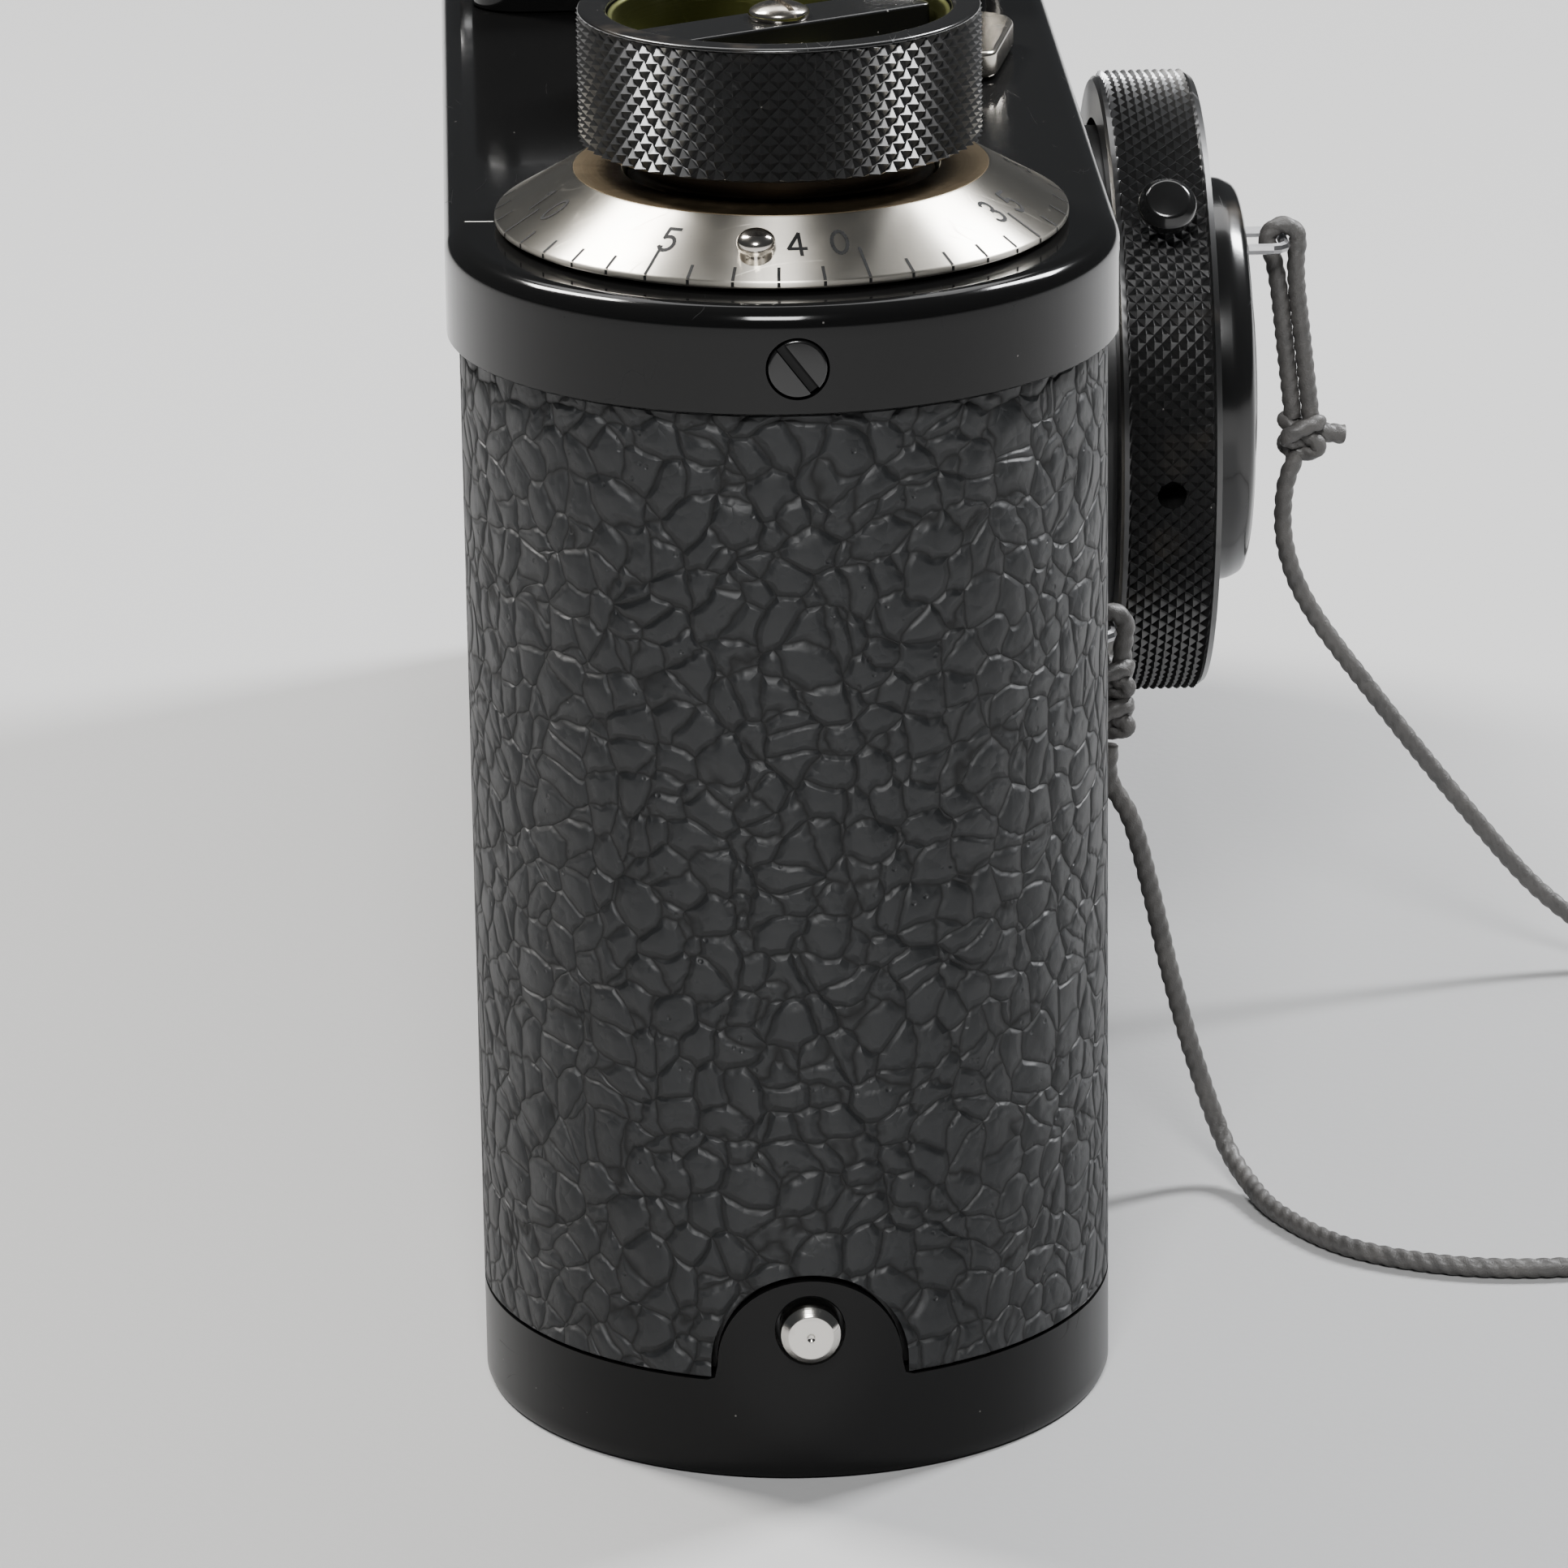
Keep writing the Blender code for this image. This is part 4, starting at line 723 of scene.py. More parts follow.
def place(name: str, shape: Shape, finish: Finish, body: str | None, stands_for: Sequence[str] = (),
          bevel: float = 0.0, sharp: float = 32, cut: Sequence[Shape] = ()
          ) -> bpy.types.Object:
    """Makes a piece, dresses it and lets it ride.

    Args:
        name: The piece's name.
        shape: Its shape in millimetres.
        finish: Its finish.
        body: The moving body that carries it, or none for a piece carried by no body.
        stands_for: CAD nodes that it replaces.
        bevel: Width of a bevel on sharp edges, if any.
        sharp: Angle above which edges stay sharp.
        cut: Shapes cut out of it.

    Returns:
        The object.
    """
    obj = bpy.data.objects.new(name, mesh_of(name, shape, sharp))
    bpy.context.collection.objects.link(obj)
    if cut:
        carve(obj, *cut)
        obj.data.name = name
    obj.data.materials.clear()
    obj.data.materials.append(finish.material())
    if bevel:
        modifier = obj.modifiers.new("edge", "BEVEL")
        modifier.width, modifier.segments, modifier.limit_method = bevel * MM, 3, "ANGLE"
        modifier.angle_limit = math.radians(35)
        modifier.harden_normals = True
    if body:
        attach(obj, body)
    if stands_for:
        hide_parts(*stands_for)
    log.info("%s on %s", name, body)
    return obj


def redress(node: str, finish: Finish) -> None:
    """Gives a CAD node that stays visible a better material."""
    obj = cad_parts[node]
    obj.data.materials.clear()
    obj.data.materials.append(finish.material())
    log.info("%s dressed", node)


# ---- engraving --------------------------------------------------------------
STROKES: dict[str, list[list[tuple[float, float]]]] = {
    "0": [[(0.5 + 0.36 * math.sin(TAU * i / 20), 0.5 + 0.5 * math.cos(TAU * i / 20)) for i in range(21)]],
    "1": [[(0.28, 0.78), (0.55, 1.0), (0.55, 0.0)]],
    "2": [[(0.5 + 0.34 * math.cos(a), 0.68 + 0.32 * math.sin(a))
           for a in np.linspace(math.radians(165), math.radians(-35), 12)] + [(0.14, 0.0), (0.88, 0.0)]],
    "3": [[(0.48 + 0.30 * math.cos(a), 0.76 + 0.24 * math.sin(a))
           for a in np.linspace(math.radians(150), math.radians(-90), 12)]
          + [(0.48 + 0.36 * math.cos(a), 0.27 + 0.27 * math.sin(a))
             for a in np.linspace(math.radians(80), math.radians(-150), 12)]],
    "4": [[(0.66, 0.0), (0.66, 1.0), (0.10, 0.30), (0.92, 0.30)]],
    "5": [[(0.82, 1.0), (0.26, 1.0), (0.22, 0.56)]
          + [(0.46 + 0.36 * math.cos(a), 0.32 + 0.32 * math.sin(a))
             for a in np.linspace(math.radians(125), math.radians(-150), 14)]],
    "6": [[(0.74, 1.0), (0.32, 0.62), (0.16, 0.34)]
          + [(0.5 + 0.34 * math.cos(a), 0.31 + 0.31 * math.sin(a))
             for a in np.linspace(math.radians(180), math.radians(-170), 18)]],
    "Z": [[(0.15, 1.0), (0.85, 1.0), (0.15, 0.0), (0.88, 0.0)]],
}


def stroke_shape(lines: Sequence[Sequence[tuple[float, float]]], width: float,
                 wrap: Callable[[float, float], Point]) -> Shape:
    """Lays lines of a given width on a surface.

    Args:
        lines: Polylines in the surface's flat coordinates.
        width: Line width.
        wrap: Carries flat coordinates to the surface.

    Returns:
        Thin closed strips, each a hair thick.
    """
    shape = Shape()
    for line in lines:
        points = [Vector(p) for p in line]
        for a, b in zip(points, points[1:]):
            along = (b - a).normalized()
            side = Vector((-along.y, along.x)) * (width / 2)
            a2, b2 = a - along * (width * 0.3), b + along * (width * 0.3)
            corners = [a2 - side, b2 - side, b2 + side, a2 + side]
            shape.join(Shape([wrap(*c) for c in corners], [(0, 1, 2, 3)]))
    return shape


def written(text: str, height: float, pitch: float) -> list[list[tuple[float, float]]]:
    """Strokes of a number, centred on the origin, with a pitch between figures."""
    lines = []
    for k, figure in enumerate(text):
        shift = (k - (len(text) - 1) / 2) * pitch
        for line in STROKES[figure]:
            lines.append([((x - 0.5) * height * 0.72 + shift, (y - 0.5) * height) for x, y in line])
    return lines


# ---- studio -----------------------------------------------------------------
@dataclass
class Studio:
    """Floor, soft lights and the taking camera."""
    eye: Point = (-402.422, 14.004, 148.534)
    yaw: float = 2.241
    pitch: float = 18.778
    roll: float = -0.825
    focal: float = 180.55
    world: float = 0.06

    def camera(self) -> None:
        """Sets up the view."""
        cy, sy = math.cos(math.radians(self.yaw)), math.sin(math.radians(self.yaw))
        cp, sp = math.cos(math.radians(self.pitch)), math.sin(math.radians(self.pitch))
        cr, sr = math.cos(math.radians(self.roll)), math.sin(math.radians(self.roll))
        ahead = Vector((cp * cy, -cp * sy, -sp))
        right = Vector((-sy, -cy, 0))
        up = right.cross(ahead)
        right, up = right * cr + up * sr, up * cr - right * sr
        turn = Matrix((right, up, -ahead)).transposed().to_4x4()
        data = bpy.data.cameras.new("view")
        data.lens, data.sensor_width, data.clip_start, data.clip_end = self.focal, 36, 0.01, 20
        obj = bpy.data.objects.new("view", data)
        obj.matrix_world = Matrix.Translation(Vector(self.eye) * MM) @ turn
        bpy.context.collection.objects.link(obj)
        bpy.context.scene.camera = obj

    def light(self, name: str, at: Point, size: tuple[float, float], power: float,
              colour: Point = (1, 1, 1), target: Point = (0, 0, 40)) -> None:
        """Adds a soft box, placed and sized in millimetres."""
        data = bpy.data.lights.new(name, "AREA")
        data.shape, data.size, data.size_y = "RECTANGLE", size[0] * MM, size[1] * MM
        data.energy, data.color = power, colour
        obj = bpy.data.objects.new(name, data)
        obj.location = Vector(at) * MM
        obj.rotation_euler = (Vector(target) - Vector(at)).to_track_quat("-Z", "Y").to_euler()
        bpy.context.collection.objects.link(obj)

    def build(self) -> None:
        """Makes the whole studio."""
        self.camera()
        far = 2500.0
        mesh = mesh_of("floor", Shape([(-far, -far, 0), (far, -far, 0), (far, far, 0), (-far, far, 0)],
                                      [(0, 1, 2, 3)]), 30)
        floor = bpy.data.objects.new("floor", mesh)
        mesh.materials.append(StudioPaper("studio_paper").material())
        bpy.context.collection.objects.link(floor)
        floor.location.z = -0.02 * MM
        world = bpy.data.worlds.new("studio_air")
        world.use_nodes = True
        back = world.node_tree.nodes["Background"]
        back.inputs["Color"].default_value = (0.9, 0.95, 1.0, 1)
        back.inputs["Strength"].default_value = self.world
        bpy.context.scene.world = world
        self.light("top_box", (360, 0, 640), (620, 300), 1.9)
        self.light("left_box", (228, 344, 600), (120, 240), 10.5, (1.0, 0.98, 0.95), (-50, 0, 50))
        self.light("right_box", (240, -430, 530), (120, 240), 10.5, (0.97, 0.98, 1.0), (-50, 0, 50))
        self.light("front_box", (-640, 60, 640), (220, 220), 8.5, target=(-60, 0, 30))


# ---- tether -----------------------------------------------------------------
@dataclass
class Tether:
    """The cap's cord, from its knot at the eyelet to its knot at the cap."""
    radius: float = 0.5
    bar_y: float = -28.6
    bail_z: float = 41.3
    eye: Point = (-30.0, -16.9, 29.6)
    knot_radius: float = 1.35
    lean: float = 1.1
    length: float = 0.148
    route: Sequence[Point] = (
        (0, -29.5, 29.7), (0, -28.8, 27.4), (0, -28.9, 24.2), (0, -30.3, 20.7), (0, -33.9, 15.6),
        (0, -38.4, 9.7), (-0.2, -43.0, 4.3), (-0.8, -47.4, 1.3), (-2.2, -51.8, 0.52), (-5.6, -56.8, 0.5),
        (-11.2, -60.8, 0.5), (-18.4, -62.8, 0.5), (-26.2, -62.4, 0.5), (-33.6, -59.4, 0.5),
        (-39.4, -54.2, 0.5), (-42.8, -47.6, 0.5), (-44.4, -40.4, 0.5), (-44.2, -33.8, 0.5),
        (-41.4, -28.2, 0.5), (-36.6, -25.0, 0.5), (-32.4, -23.6, 0.9), (-30.3, -22.6, 2.4),
        (-30.0, -21.2, 6.6), (-30.0, -20.0, 11.1), (-30.0, -19.0, 15.6), (-30.0, -18.0, 19.4),
        (-30.0, -16.9, 21.6), (-30.0, -16.9, 23.4))

    def bight(self, at: Point, foot: float, reach: float, near: float, lean: float) -> Shape:
        """A loop of cord over a staple's bar.

        Args:
            at: Middle of the bar.
            foot: Height at which both strands enter the knot.
            reach: Radius of the turn over the bar.
            near: Half the strands' distance below it.
            lean: How far forward the strands have come at the foot.

        Returns:
            The bent cord.
        """
        x, y, z = at
        drops = [d for d in (1.2, 2.8, 5.2) if z - d > foot + 0.9] + [z - foot]
        down = [(z - d, near + (reach - near) * max(0.0, 1 - d / 2.6) ** 2, lean * d / (z - foot))
                for d in drops]
        points = [Vector((x + 0.12, y - slip + w, h)) for h, w, slip in reversed(down)]
        points += [Vector((x, y + reach * math.cos(math.pi * i / 6), z + reach * math.sin(math.pi * i / 6)))
                   for i in range(7)]
        points += [Vector((x - 0.12, y - slip - w, h)) for h, w, slip in down]
        return sweep(smooth_path(points, 0.16), self.radius, 18, 3, 2.2)

    def knot(self, x: float, y: float, low: float, high: float) -> Shape:
        """A tight overhand knot."""
        reach = self.knot_radius - self.radius * 0.9
        tall = (high - low) / 2 - self.radius * 0.9
        points = []
        for i in range(97):
            t = TAU * i / 96
            points.append(Vector((x + reach * (math.sin(t) + 2 * math.sin(2 * t)) / 3,
                                  y + reach * (-math.sin(3 * t)) * 0.95,
                                  (low + high) / 2 + tall * (math.cos(t) - 2 * math.cos(2 * t)) / 3)))
        return sweep(points, self.radius * 0.94, 18, 3, 2.2)

    def build(self) -> None:
        path = smooth_path([Vector(p) for p in reversed(self.route)], 0.16)
        cord = place("tether", sweep(path, self.radius, 18, 3, 2.4), CORD, None, ["tether_cord"])
        top, knot_y = self.bail_z - 8.9 - 0.3, self.bar_y - self.lean
        bight = self.bight((0, self.bar_y, self.bail_z), top - 0.6, 0.82, 0.47, self.lean)
        loop = place("cap_cord_loop", bight, CORD, "cap", ["cap_loop"])
        tail = [Vector((0.1, knot_y - 0.2, top - 1.2)), Vector((0.2, knot_y - 1.2, top - 1.5)),
                Vector((0.3, knot_y - 2.3, top - 1.7))]
        knot = place("cap_cord_knot", self.knot(0, knot_y, top - 3.0, top).join(
            sweep(smooth_path(tail, 0.16), self.radius * 1.1, 18, 3, 1.8)), CORD, "cap", ["cap_knot"])
        x, y, z = self.eye
        low = z - 1.5 - 4.4
        bow = place("eyelet_cord_loop", self.bight(self.eye, z - 2.2, 0.80, 0.5, 0.1), CORD, "body",
                    ["body_loop"])
        tie = place("eyelet_cord_knot", self.knot(x, y, low + 2.1, z - 1.3)
                    .join(self.knot(x + 0.1, y, low, low + 2.6)), CORD, "body", ["body_knot"])
        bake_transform(cord)
        tuple(c * MM for c in self.route[-1])
        for node in ("cap_bail", "cord_eyelet"):
            redress(node, STEEL)


# ---- body -------------------------------------------------------------------
@dataclass
class Casing:
    """Covering, top plate, base plate and the fasteners that hold them."""
    tab_half: float = 4.3
    tab_top: float = 9.95
    stud_z: float = 7.5
    stud_r: float = 1.40
    screw_z: float = 53.8
    screw_r: float = 1.33

    def tab(self, grow: float, low: float) -> list[tuple[float, float]]:
        """(y, z) outline of the base plate's end tab."""
        radius, mid = self.tab_half + grow, self.tab_top - self.tab_half
        return [(-radius, low), (radius, low)] + [
            (radius * math.cos(math.pi * i / 32), mid + radius * math.sin(math.pi * i / 32))
            for i in range(33)]

    def sideways(self, outline: Sequence[tuple[float, float]], x0: float, x1: float) -> Shape:
        """Extrudes a (y, z) outline along X."""
        return loft([[(x, y, z) for y, z in outline] for x in (x0, x1)])

    def covering(self) -> None:
        """Makes the pebbled skin."""
        low, high, out, inner = SIZE.base_top + 0.12, SIZE.top_low - 0.12, SIZE.cover_r, SIZE.cover_r - 0.6
        rows = [(out - 0.08, low), (out, low + 0.08), (out, high - 0.08), (out - 0.08, high), (inner, high),
                (inner, low)]
        skin = loft([level(stadium(r), z) for r, z in rows], closed=True)
        hole = lathe([(0, 12), (16.2, 12), (16.2, 19), (0, 19)], (0, 0, SIZE.lens_z), Way.FRONT.value, ease=0)
        notch = self.sideways(self.tab(0.3, 2.0), -SIZE.end - 2, -SIZE.end + 3)
        place("pebbled_skin", skin, PEBBLE, "body", ["body_covering"], cut=[hole, notch])
        redress("body_shell", SATIN)

    def top(self) -> None:
        """Makes the top plate with its end screws and index line."""
        shape = pan(lambda inset: stadium(SIZE.top_r - inset, 96), SIZE.top_low, SIZE.top_z, 1.1, 1.1, 1.0)
        cuts, out = [], SIZE.axis_x + SIZE.top_r
        for way in (Way.NEAR_END, Way.FAR_END):
            cuts.append(lathe([(0, out - 3), (self.screw_r + 0.1, out - 3), (self.screw_r + 0.1, out + 1),
                               (0, out + 1)], (0, 0, self.screw_z), way.value, steps=48, ease=0))
        place("top_cover", shape, BLACK, "body", ["top_plate"], cut=cuts)
        for way, node in ((Way.NEAR_END, "end_screw_near"), (Way.FAR_END, "end_screw_far")):
            head = lathe([(0, out - 1.6), (self.screw_r, out - 1.6), (self.screw_r, out + 0.02),
                          (0, out + 0.05)], (0, 0, self.screw_z), way.value, steps=64, ease=0.14)
            seat = (aim((way.value[0] * out, 0, self.screw_z), way.value)
                    @ Matrix.Rotation(math.radians(-53), 4, "Z"))
            place(node + "_head", head, BLACK_WORN, "body", [node],
                  cut=[slab(-0.24, 0.24, -3, 3, -0.6, 0.6).moved(seat)])
            # A thin black block at the bottom of the slot: painted shade that darkens the slot.
            slot_shade_block = slab(-0.22, 0.22, -1.24, 1.24, -0.58, -0.2).moved(seat)
            place(node + "_slot_painted_shade", slot_shade_block, BLACK_FILL_AND_SLOT_SHADE, "body")
        line = stroke_shape([[(-0.62, 0), (0.62, 0)]], 0.13, self.index)
        place("index_line", line, WHITE_FILL, "body")

    def index(self, along: float, across: float) -> Point:
        """Carries the index line to the top face, beside the counter dial."""
        a = math.radians(86.5)
        r = 13.95 + along
        return (-SIZE.axis_x + r * math.cos(a) - across * math.sin(a),
                r * math.sin(a) + across * math.cos(a), SIZE.top_z + 0.012)

    def base(self) -> None:
        """Makes the base plate with its tab, boss, lock and key."""
        crown, end, rim = self.tab_top + 1, SIZE.end, SIZE.base_top
        lock_x, bush_x = end - 18.5, -end + 22.5
        loops = [level(stadium(SIZE.cover_r - 0.35, 96), 0), level(stadium(SIZE.cover_r - 0.1, 96), 0.1)]
        loops += [level(stadium(SIZE.cover_r, 96), z) for z in np.linspace(0.35, crown, 22)]
        outside = [(-30, rim), (-30, crown + 1), (30, crown + 1), (30, rim), (self.tab_half + 0.5, rim)]
        arch = [(self.tab_half + 0.14, rim + 0.14)] + [p for p in self.tab(0, rim)[2:] if p[1] > rim + 0.5]
        arch += [(-self.tab_half - 0.14, rim + 0.14), (-self.tab_half - 0.5, rim)]
        cuts = [prism(stadium(SIZE.cover_r - 1.1), 1.2, crown + 1),
                slab(-end + 3, end + 2, -30, 30, rim, crown + 1),
                self.sideways(outside + arch, -end - 2, -end + 4),
                prism(stadium(SIZE.cover_r - 0.6), rim, crown + 1),
                lathe([(0, end - 4), (self.stud_r + 0.22, end - 4), (self.stud_r + 0.22, end - 0.12),
                       (self.stud_r + 0.42, end + 0.08), (self.stud_r + 0.42, end + 2), (0, end + 2)],
                      (0, 0, self.stud_z), Way.NEAR_END.value, steps=64, ease=0),
                lathe([(0, -1), (6.8, -1), (6.8, 2.2), (0, 2.2)], (lock_x, 0, 0), ease=0),
                lathe([(0, -1), (3.1, -1), (3.1, 2.2), (0, 2.2)], (bush_x, 0, 0), ease=0)]
        place("base_cover", loft(loops), BASE_BLACK, "base", ["base_plate"], cut=cuts)
        stud = lathe([(0, end - 0.9), (self.stud_r, end - 0.9), (self.stud_r, end + 0.55),
                      (self.stud_r - 0.35, end + 0.9), (0.2, end + 0.9), (0.12, end + 0.82), (0, end + 0.8)],
                     (0, 0, self.stud_z), Way.NEAR_END.value, steps=64, ease=0.06)
        place("hook_stud", stud, Metal("stud_nickel", (0.64, 0.62, 0.58), 0.16, Way.NEAR_END,
                                       (0, 0, self.stud_z), 0.008, 0.07, 0.6, (0.12, 0.10, 0.08)),
              "body", ["base_stud"])
        boss = [(3.1, 1.25), (6.0, 1.25), (6.0, 5.6), (3.1, 5.6)]
        threads = [(3.1 + (0.28 if i % 2 else 0.0), 5.4 - 0.25 * i) for i in range(16)]
        place("tripod_bush", lathe(boss[1:3] + threads, (bush_x, 0, 0), ring=True, ease=0.05), STEEL,
              "base", ["tripod_boss"])
        disc = lathe([(0, 1.5), (7.8, 1.5), (7.8, 2.7), (2.5, 2.7), (2.5, 4.1), (0, 4.1)], (lock_x, 0, 0))
        place("lock_disc", disc, Metal("lock_nickel", axis=Way.UP, centre=(lock_x, 0, 0)), "lock",
              ["base_lock_disc"])
        outer, inner = [], []
        for i in range(96):
            a = TAU * i / 96
            outer.append((lock_x + 6.0 * math.cos(a), max(6.0 * math.sin(a), -0.8)))
            inner.append((lock_x + 4.4 * math.cos(a), max(4.4 * math.sin(a), 0.8)))
        key = loft([level(outer, 0.25), level(outer, 0.85), level(inner, 0.85), level(inner, 0.25)],
                   closed=True)
        place("folding_key", key, NICKEL, "key", ["base_key"], bevel=0.12)

    def build(self) -> None:
        """Makes all casing pieces."""
        self.covering()
        self.top()
        self.base()


# ---- winding end ------------------------------------------------------------
@dataclass
class WindingEnd:
    """Counter dial with its pin, and the knurled knob above it."""
    centre: Point = (-51.5, 0, 0)
    dial_r: float = 13.22
    flat_r: float = 9.64
    edge_z: float = 57.18
    dial_top: float = 59.25
    knob_r: float = 9.3
    knob_low: float = 60.6
    knob_top: float = 66.8

    def cone(self, degrees: float, lift: float = 0.02) -> Callable[[float, float], Point]:
        """Wraps flat marks onto the dial's cone about a direction.

        Args:
            degrees: Where the mark's middle sits round the dial.
            lift: Height above the metal.

        Returns:
            A function of (sideways, outward radius) coordinates.
        """
        slope = (self.dial_top - self.edge_z) / (self.dial_r - self.flat_r)

        def wrap(across: float, radius: float) -> Point:
            """Places one point."""
            a = math.radians(degrees) + across / max(radius, 1)
            z = self.edge_z + (self.dial_r - radius) * slope
            return (self.centre[0] + radius * math.cos(a), radius * math.sin(a), z + lift)
        return wrap

    def dial(self) -> None:
        """Makes the dial with its divisions and numbers."""
        profile = [(7.3, 56.75), (12.9, 56.75), (self.dial_r, 56.9), (self.dial_r, self.edge_z),
                   (self.flat_r, self.dial_top), (7.3, self.dial_top)]
        place("frame_dial", lathe(profile, self.centre, ring=True, steps=192, ease=0.08), DIAL_NICKEL,
              "counter", ["counter_dial"])
        marks = Shape()
        for n in range(1, 41):
            at = 195 - 9 * n
            wrap = self.cone(at)
            inner = 11.62 if n % 5 == 0 else 12.50
            marks.join(stroke_shape([[(0, inner), (0, self.dial_r - 0.06)]], 0.145, wrap))
            a = math.radians(at)
            out, side = Vector((math.cos(a), math.sin(a), 0)), Vector((-math.sin(a), math.cos(a), 0))
            foot = Vector(self.centre) + out * (self.dial_r + 0.012)
            marks.join(Shape([tuple(foot + side * s + Vector((0, 0, z)))
                              for s, z in ((-0.07, 56.93), (0.07, 56.93), (0.07, 57.15), (-0.07, 57.15))],
                             [(0, 1, 2, 3)]))
        for n in range(5, 41, 5):
            at = 195 - 9 * n + (-9 if n == 40 else 1)
            wrap = self.cone(at)
            lines = [[(x, 11.22 - y * 0.866) for x, y in line] for line in written(str(n), 1.36, 1.95)]
            marks.join(stroke_shape(lines, 0.165, wrap))
        place("dial_engraving", marks, BLACK_FILL_AND_SLOT_SHADE, "counter")
        a, r = math.radians(172), 11.62
        foot = self.cone(172, 0)(0, r)
        pin = lathe([(0, -0.5), (0.80, -0.5), (0.80, 0.3), (0.89, 0.5), (0.84, 0.82), (0.54, 1.06),
                     (0, 1.14)], (foot[0], foot[1], foot[2] - 0.05),
                    (math.cos(a) * 0.22, math.sin(a) * 0.22, 0.97), steps=48, ease=0.2)
        place("dial_pin", pin, PIN_NICKEL, "counter", ["counter_pin"])
        bush = lathe([(2.6, 56.7), (7.1, 56.7), (7.1, 59.0), (6.7, 59.3), (6.7, 60.4), (2.6, 60.4)],
                     self.centre, ring=True)
        # Ring on the dial's flat top: worn warm colour, darkened as painted shade under the knob.
        flat = lathe([(7.35, 59.2), (9.56, 59.2), (9.56, 59.28), (7.35, 59.28)], self.centre, ring=True,
                     steps=192, ease=0.02)
        place("dial_flat_face", flat, DIAL_FLAT_WORN_AND_SHADED, "counter")
        place("dial_bush", bush, BROWNED, "body", ["wind_bush"])

    def knob(self) -> None:
        """Makes the knob, its cup, cross bar and screw."""
        wall, cup = 7.9, self.knob_top - 3.4
        band = Knurl(self.knob_r, self.knob_low + 0.14, self.knob_top - 0.24, 68, 7)
        root = self.knob_r - 0.30
        before = [(2.6, self.knob_low), (root - 0.1, self.knob_low), (root, self.knob_low + 0.10)]
        after = [(root, self.knob_top - 0.21), (wall + 0.37, self.knob_top - 0.21), (wall + 0.37, cup),
                 (2.6, cup)]
        place("winding_knob", band.turn(before, after, self.centre, Way.UP.value), BLACK_KNURL, "winding",
              ["wind_knob"], sharp=24)
        lip = [(wall, self.knob_top - 0.6), (wall, self.knob_top - 0.2), (wall + 0.2, self.knob_top),
               (self.knob_r - 0.28, self.knob_top), (self.knob_r - 0.14, self.knob_top - 0.04),
               (self.knob_r - 0.08, self.knob_top - 0.12), (self.knob_r - 0.10, self.knob_top - 0.20),
               (wall + 0.35, self.knob_top - 0.20), (wall + 0.35, self.knob_top - 0.6)]
        place("knob_lip", lathe(lip[::-1], self.centre, ring=True, steps=192, ease=0.05), BLACK_WORN,
              "winding")
        liner = lathe([(2.7, cup + 0.03), (wall - 0.05, cup + 0.03), (wall - 0.05, self.knob_top - 0.35),
                       (wall - 0.28, self.knob_top - 0.5), (wall - 0.28, cup + 0.3), (2.7, cup + 0.3)],
                      self.centre, ring=True)
        place("knob_cup_lining", liner, OLIVE, "winding")
        spin = Matrix.Translation(Vector(self.centre)) @ Matrix.Rotation(math.radians(-61), 4, "Z")
        outline = rounded_box(-7.35, 7.35, -1.6, 1.6, 0.5)
        place("cross_bar", prism(outline, 64.6, 66.12).moved(spin), BLACK_WORN, "winding", ["knob_bar"],
              bevel=0.14)
        screw = lathe([(0, 66.05), (1.4, 66.05), (1.42, 66.45), (1.0, 66.72), (0.5, 66.84), (0, 66.87)],
                      self.centre, steps=64, ease=0.25)
        slot = slab(-0.16, 0.16, -3, 3, 66.62, 68).moved(spin)
        place("bar_screw", screw, PIN_NICKEL, "winding", ["knob_screw"], cut=[slot])

    def build(self) -> None:
        """Makes the winding end."""
        self.dial()
        self.knob()
        redress("wind_shaft", STEEL)
        redress("take_up_spool", BLACKENED)
        redress("sprocket_shaft", STEEL)


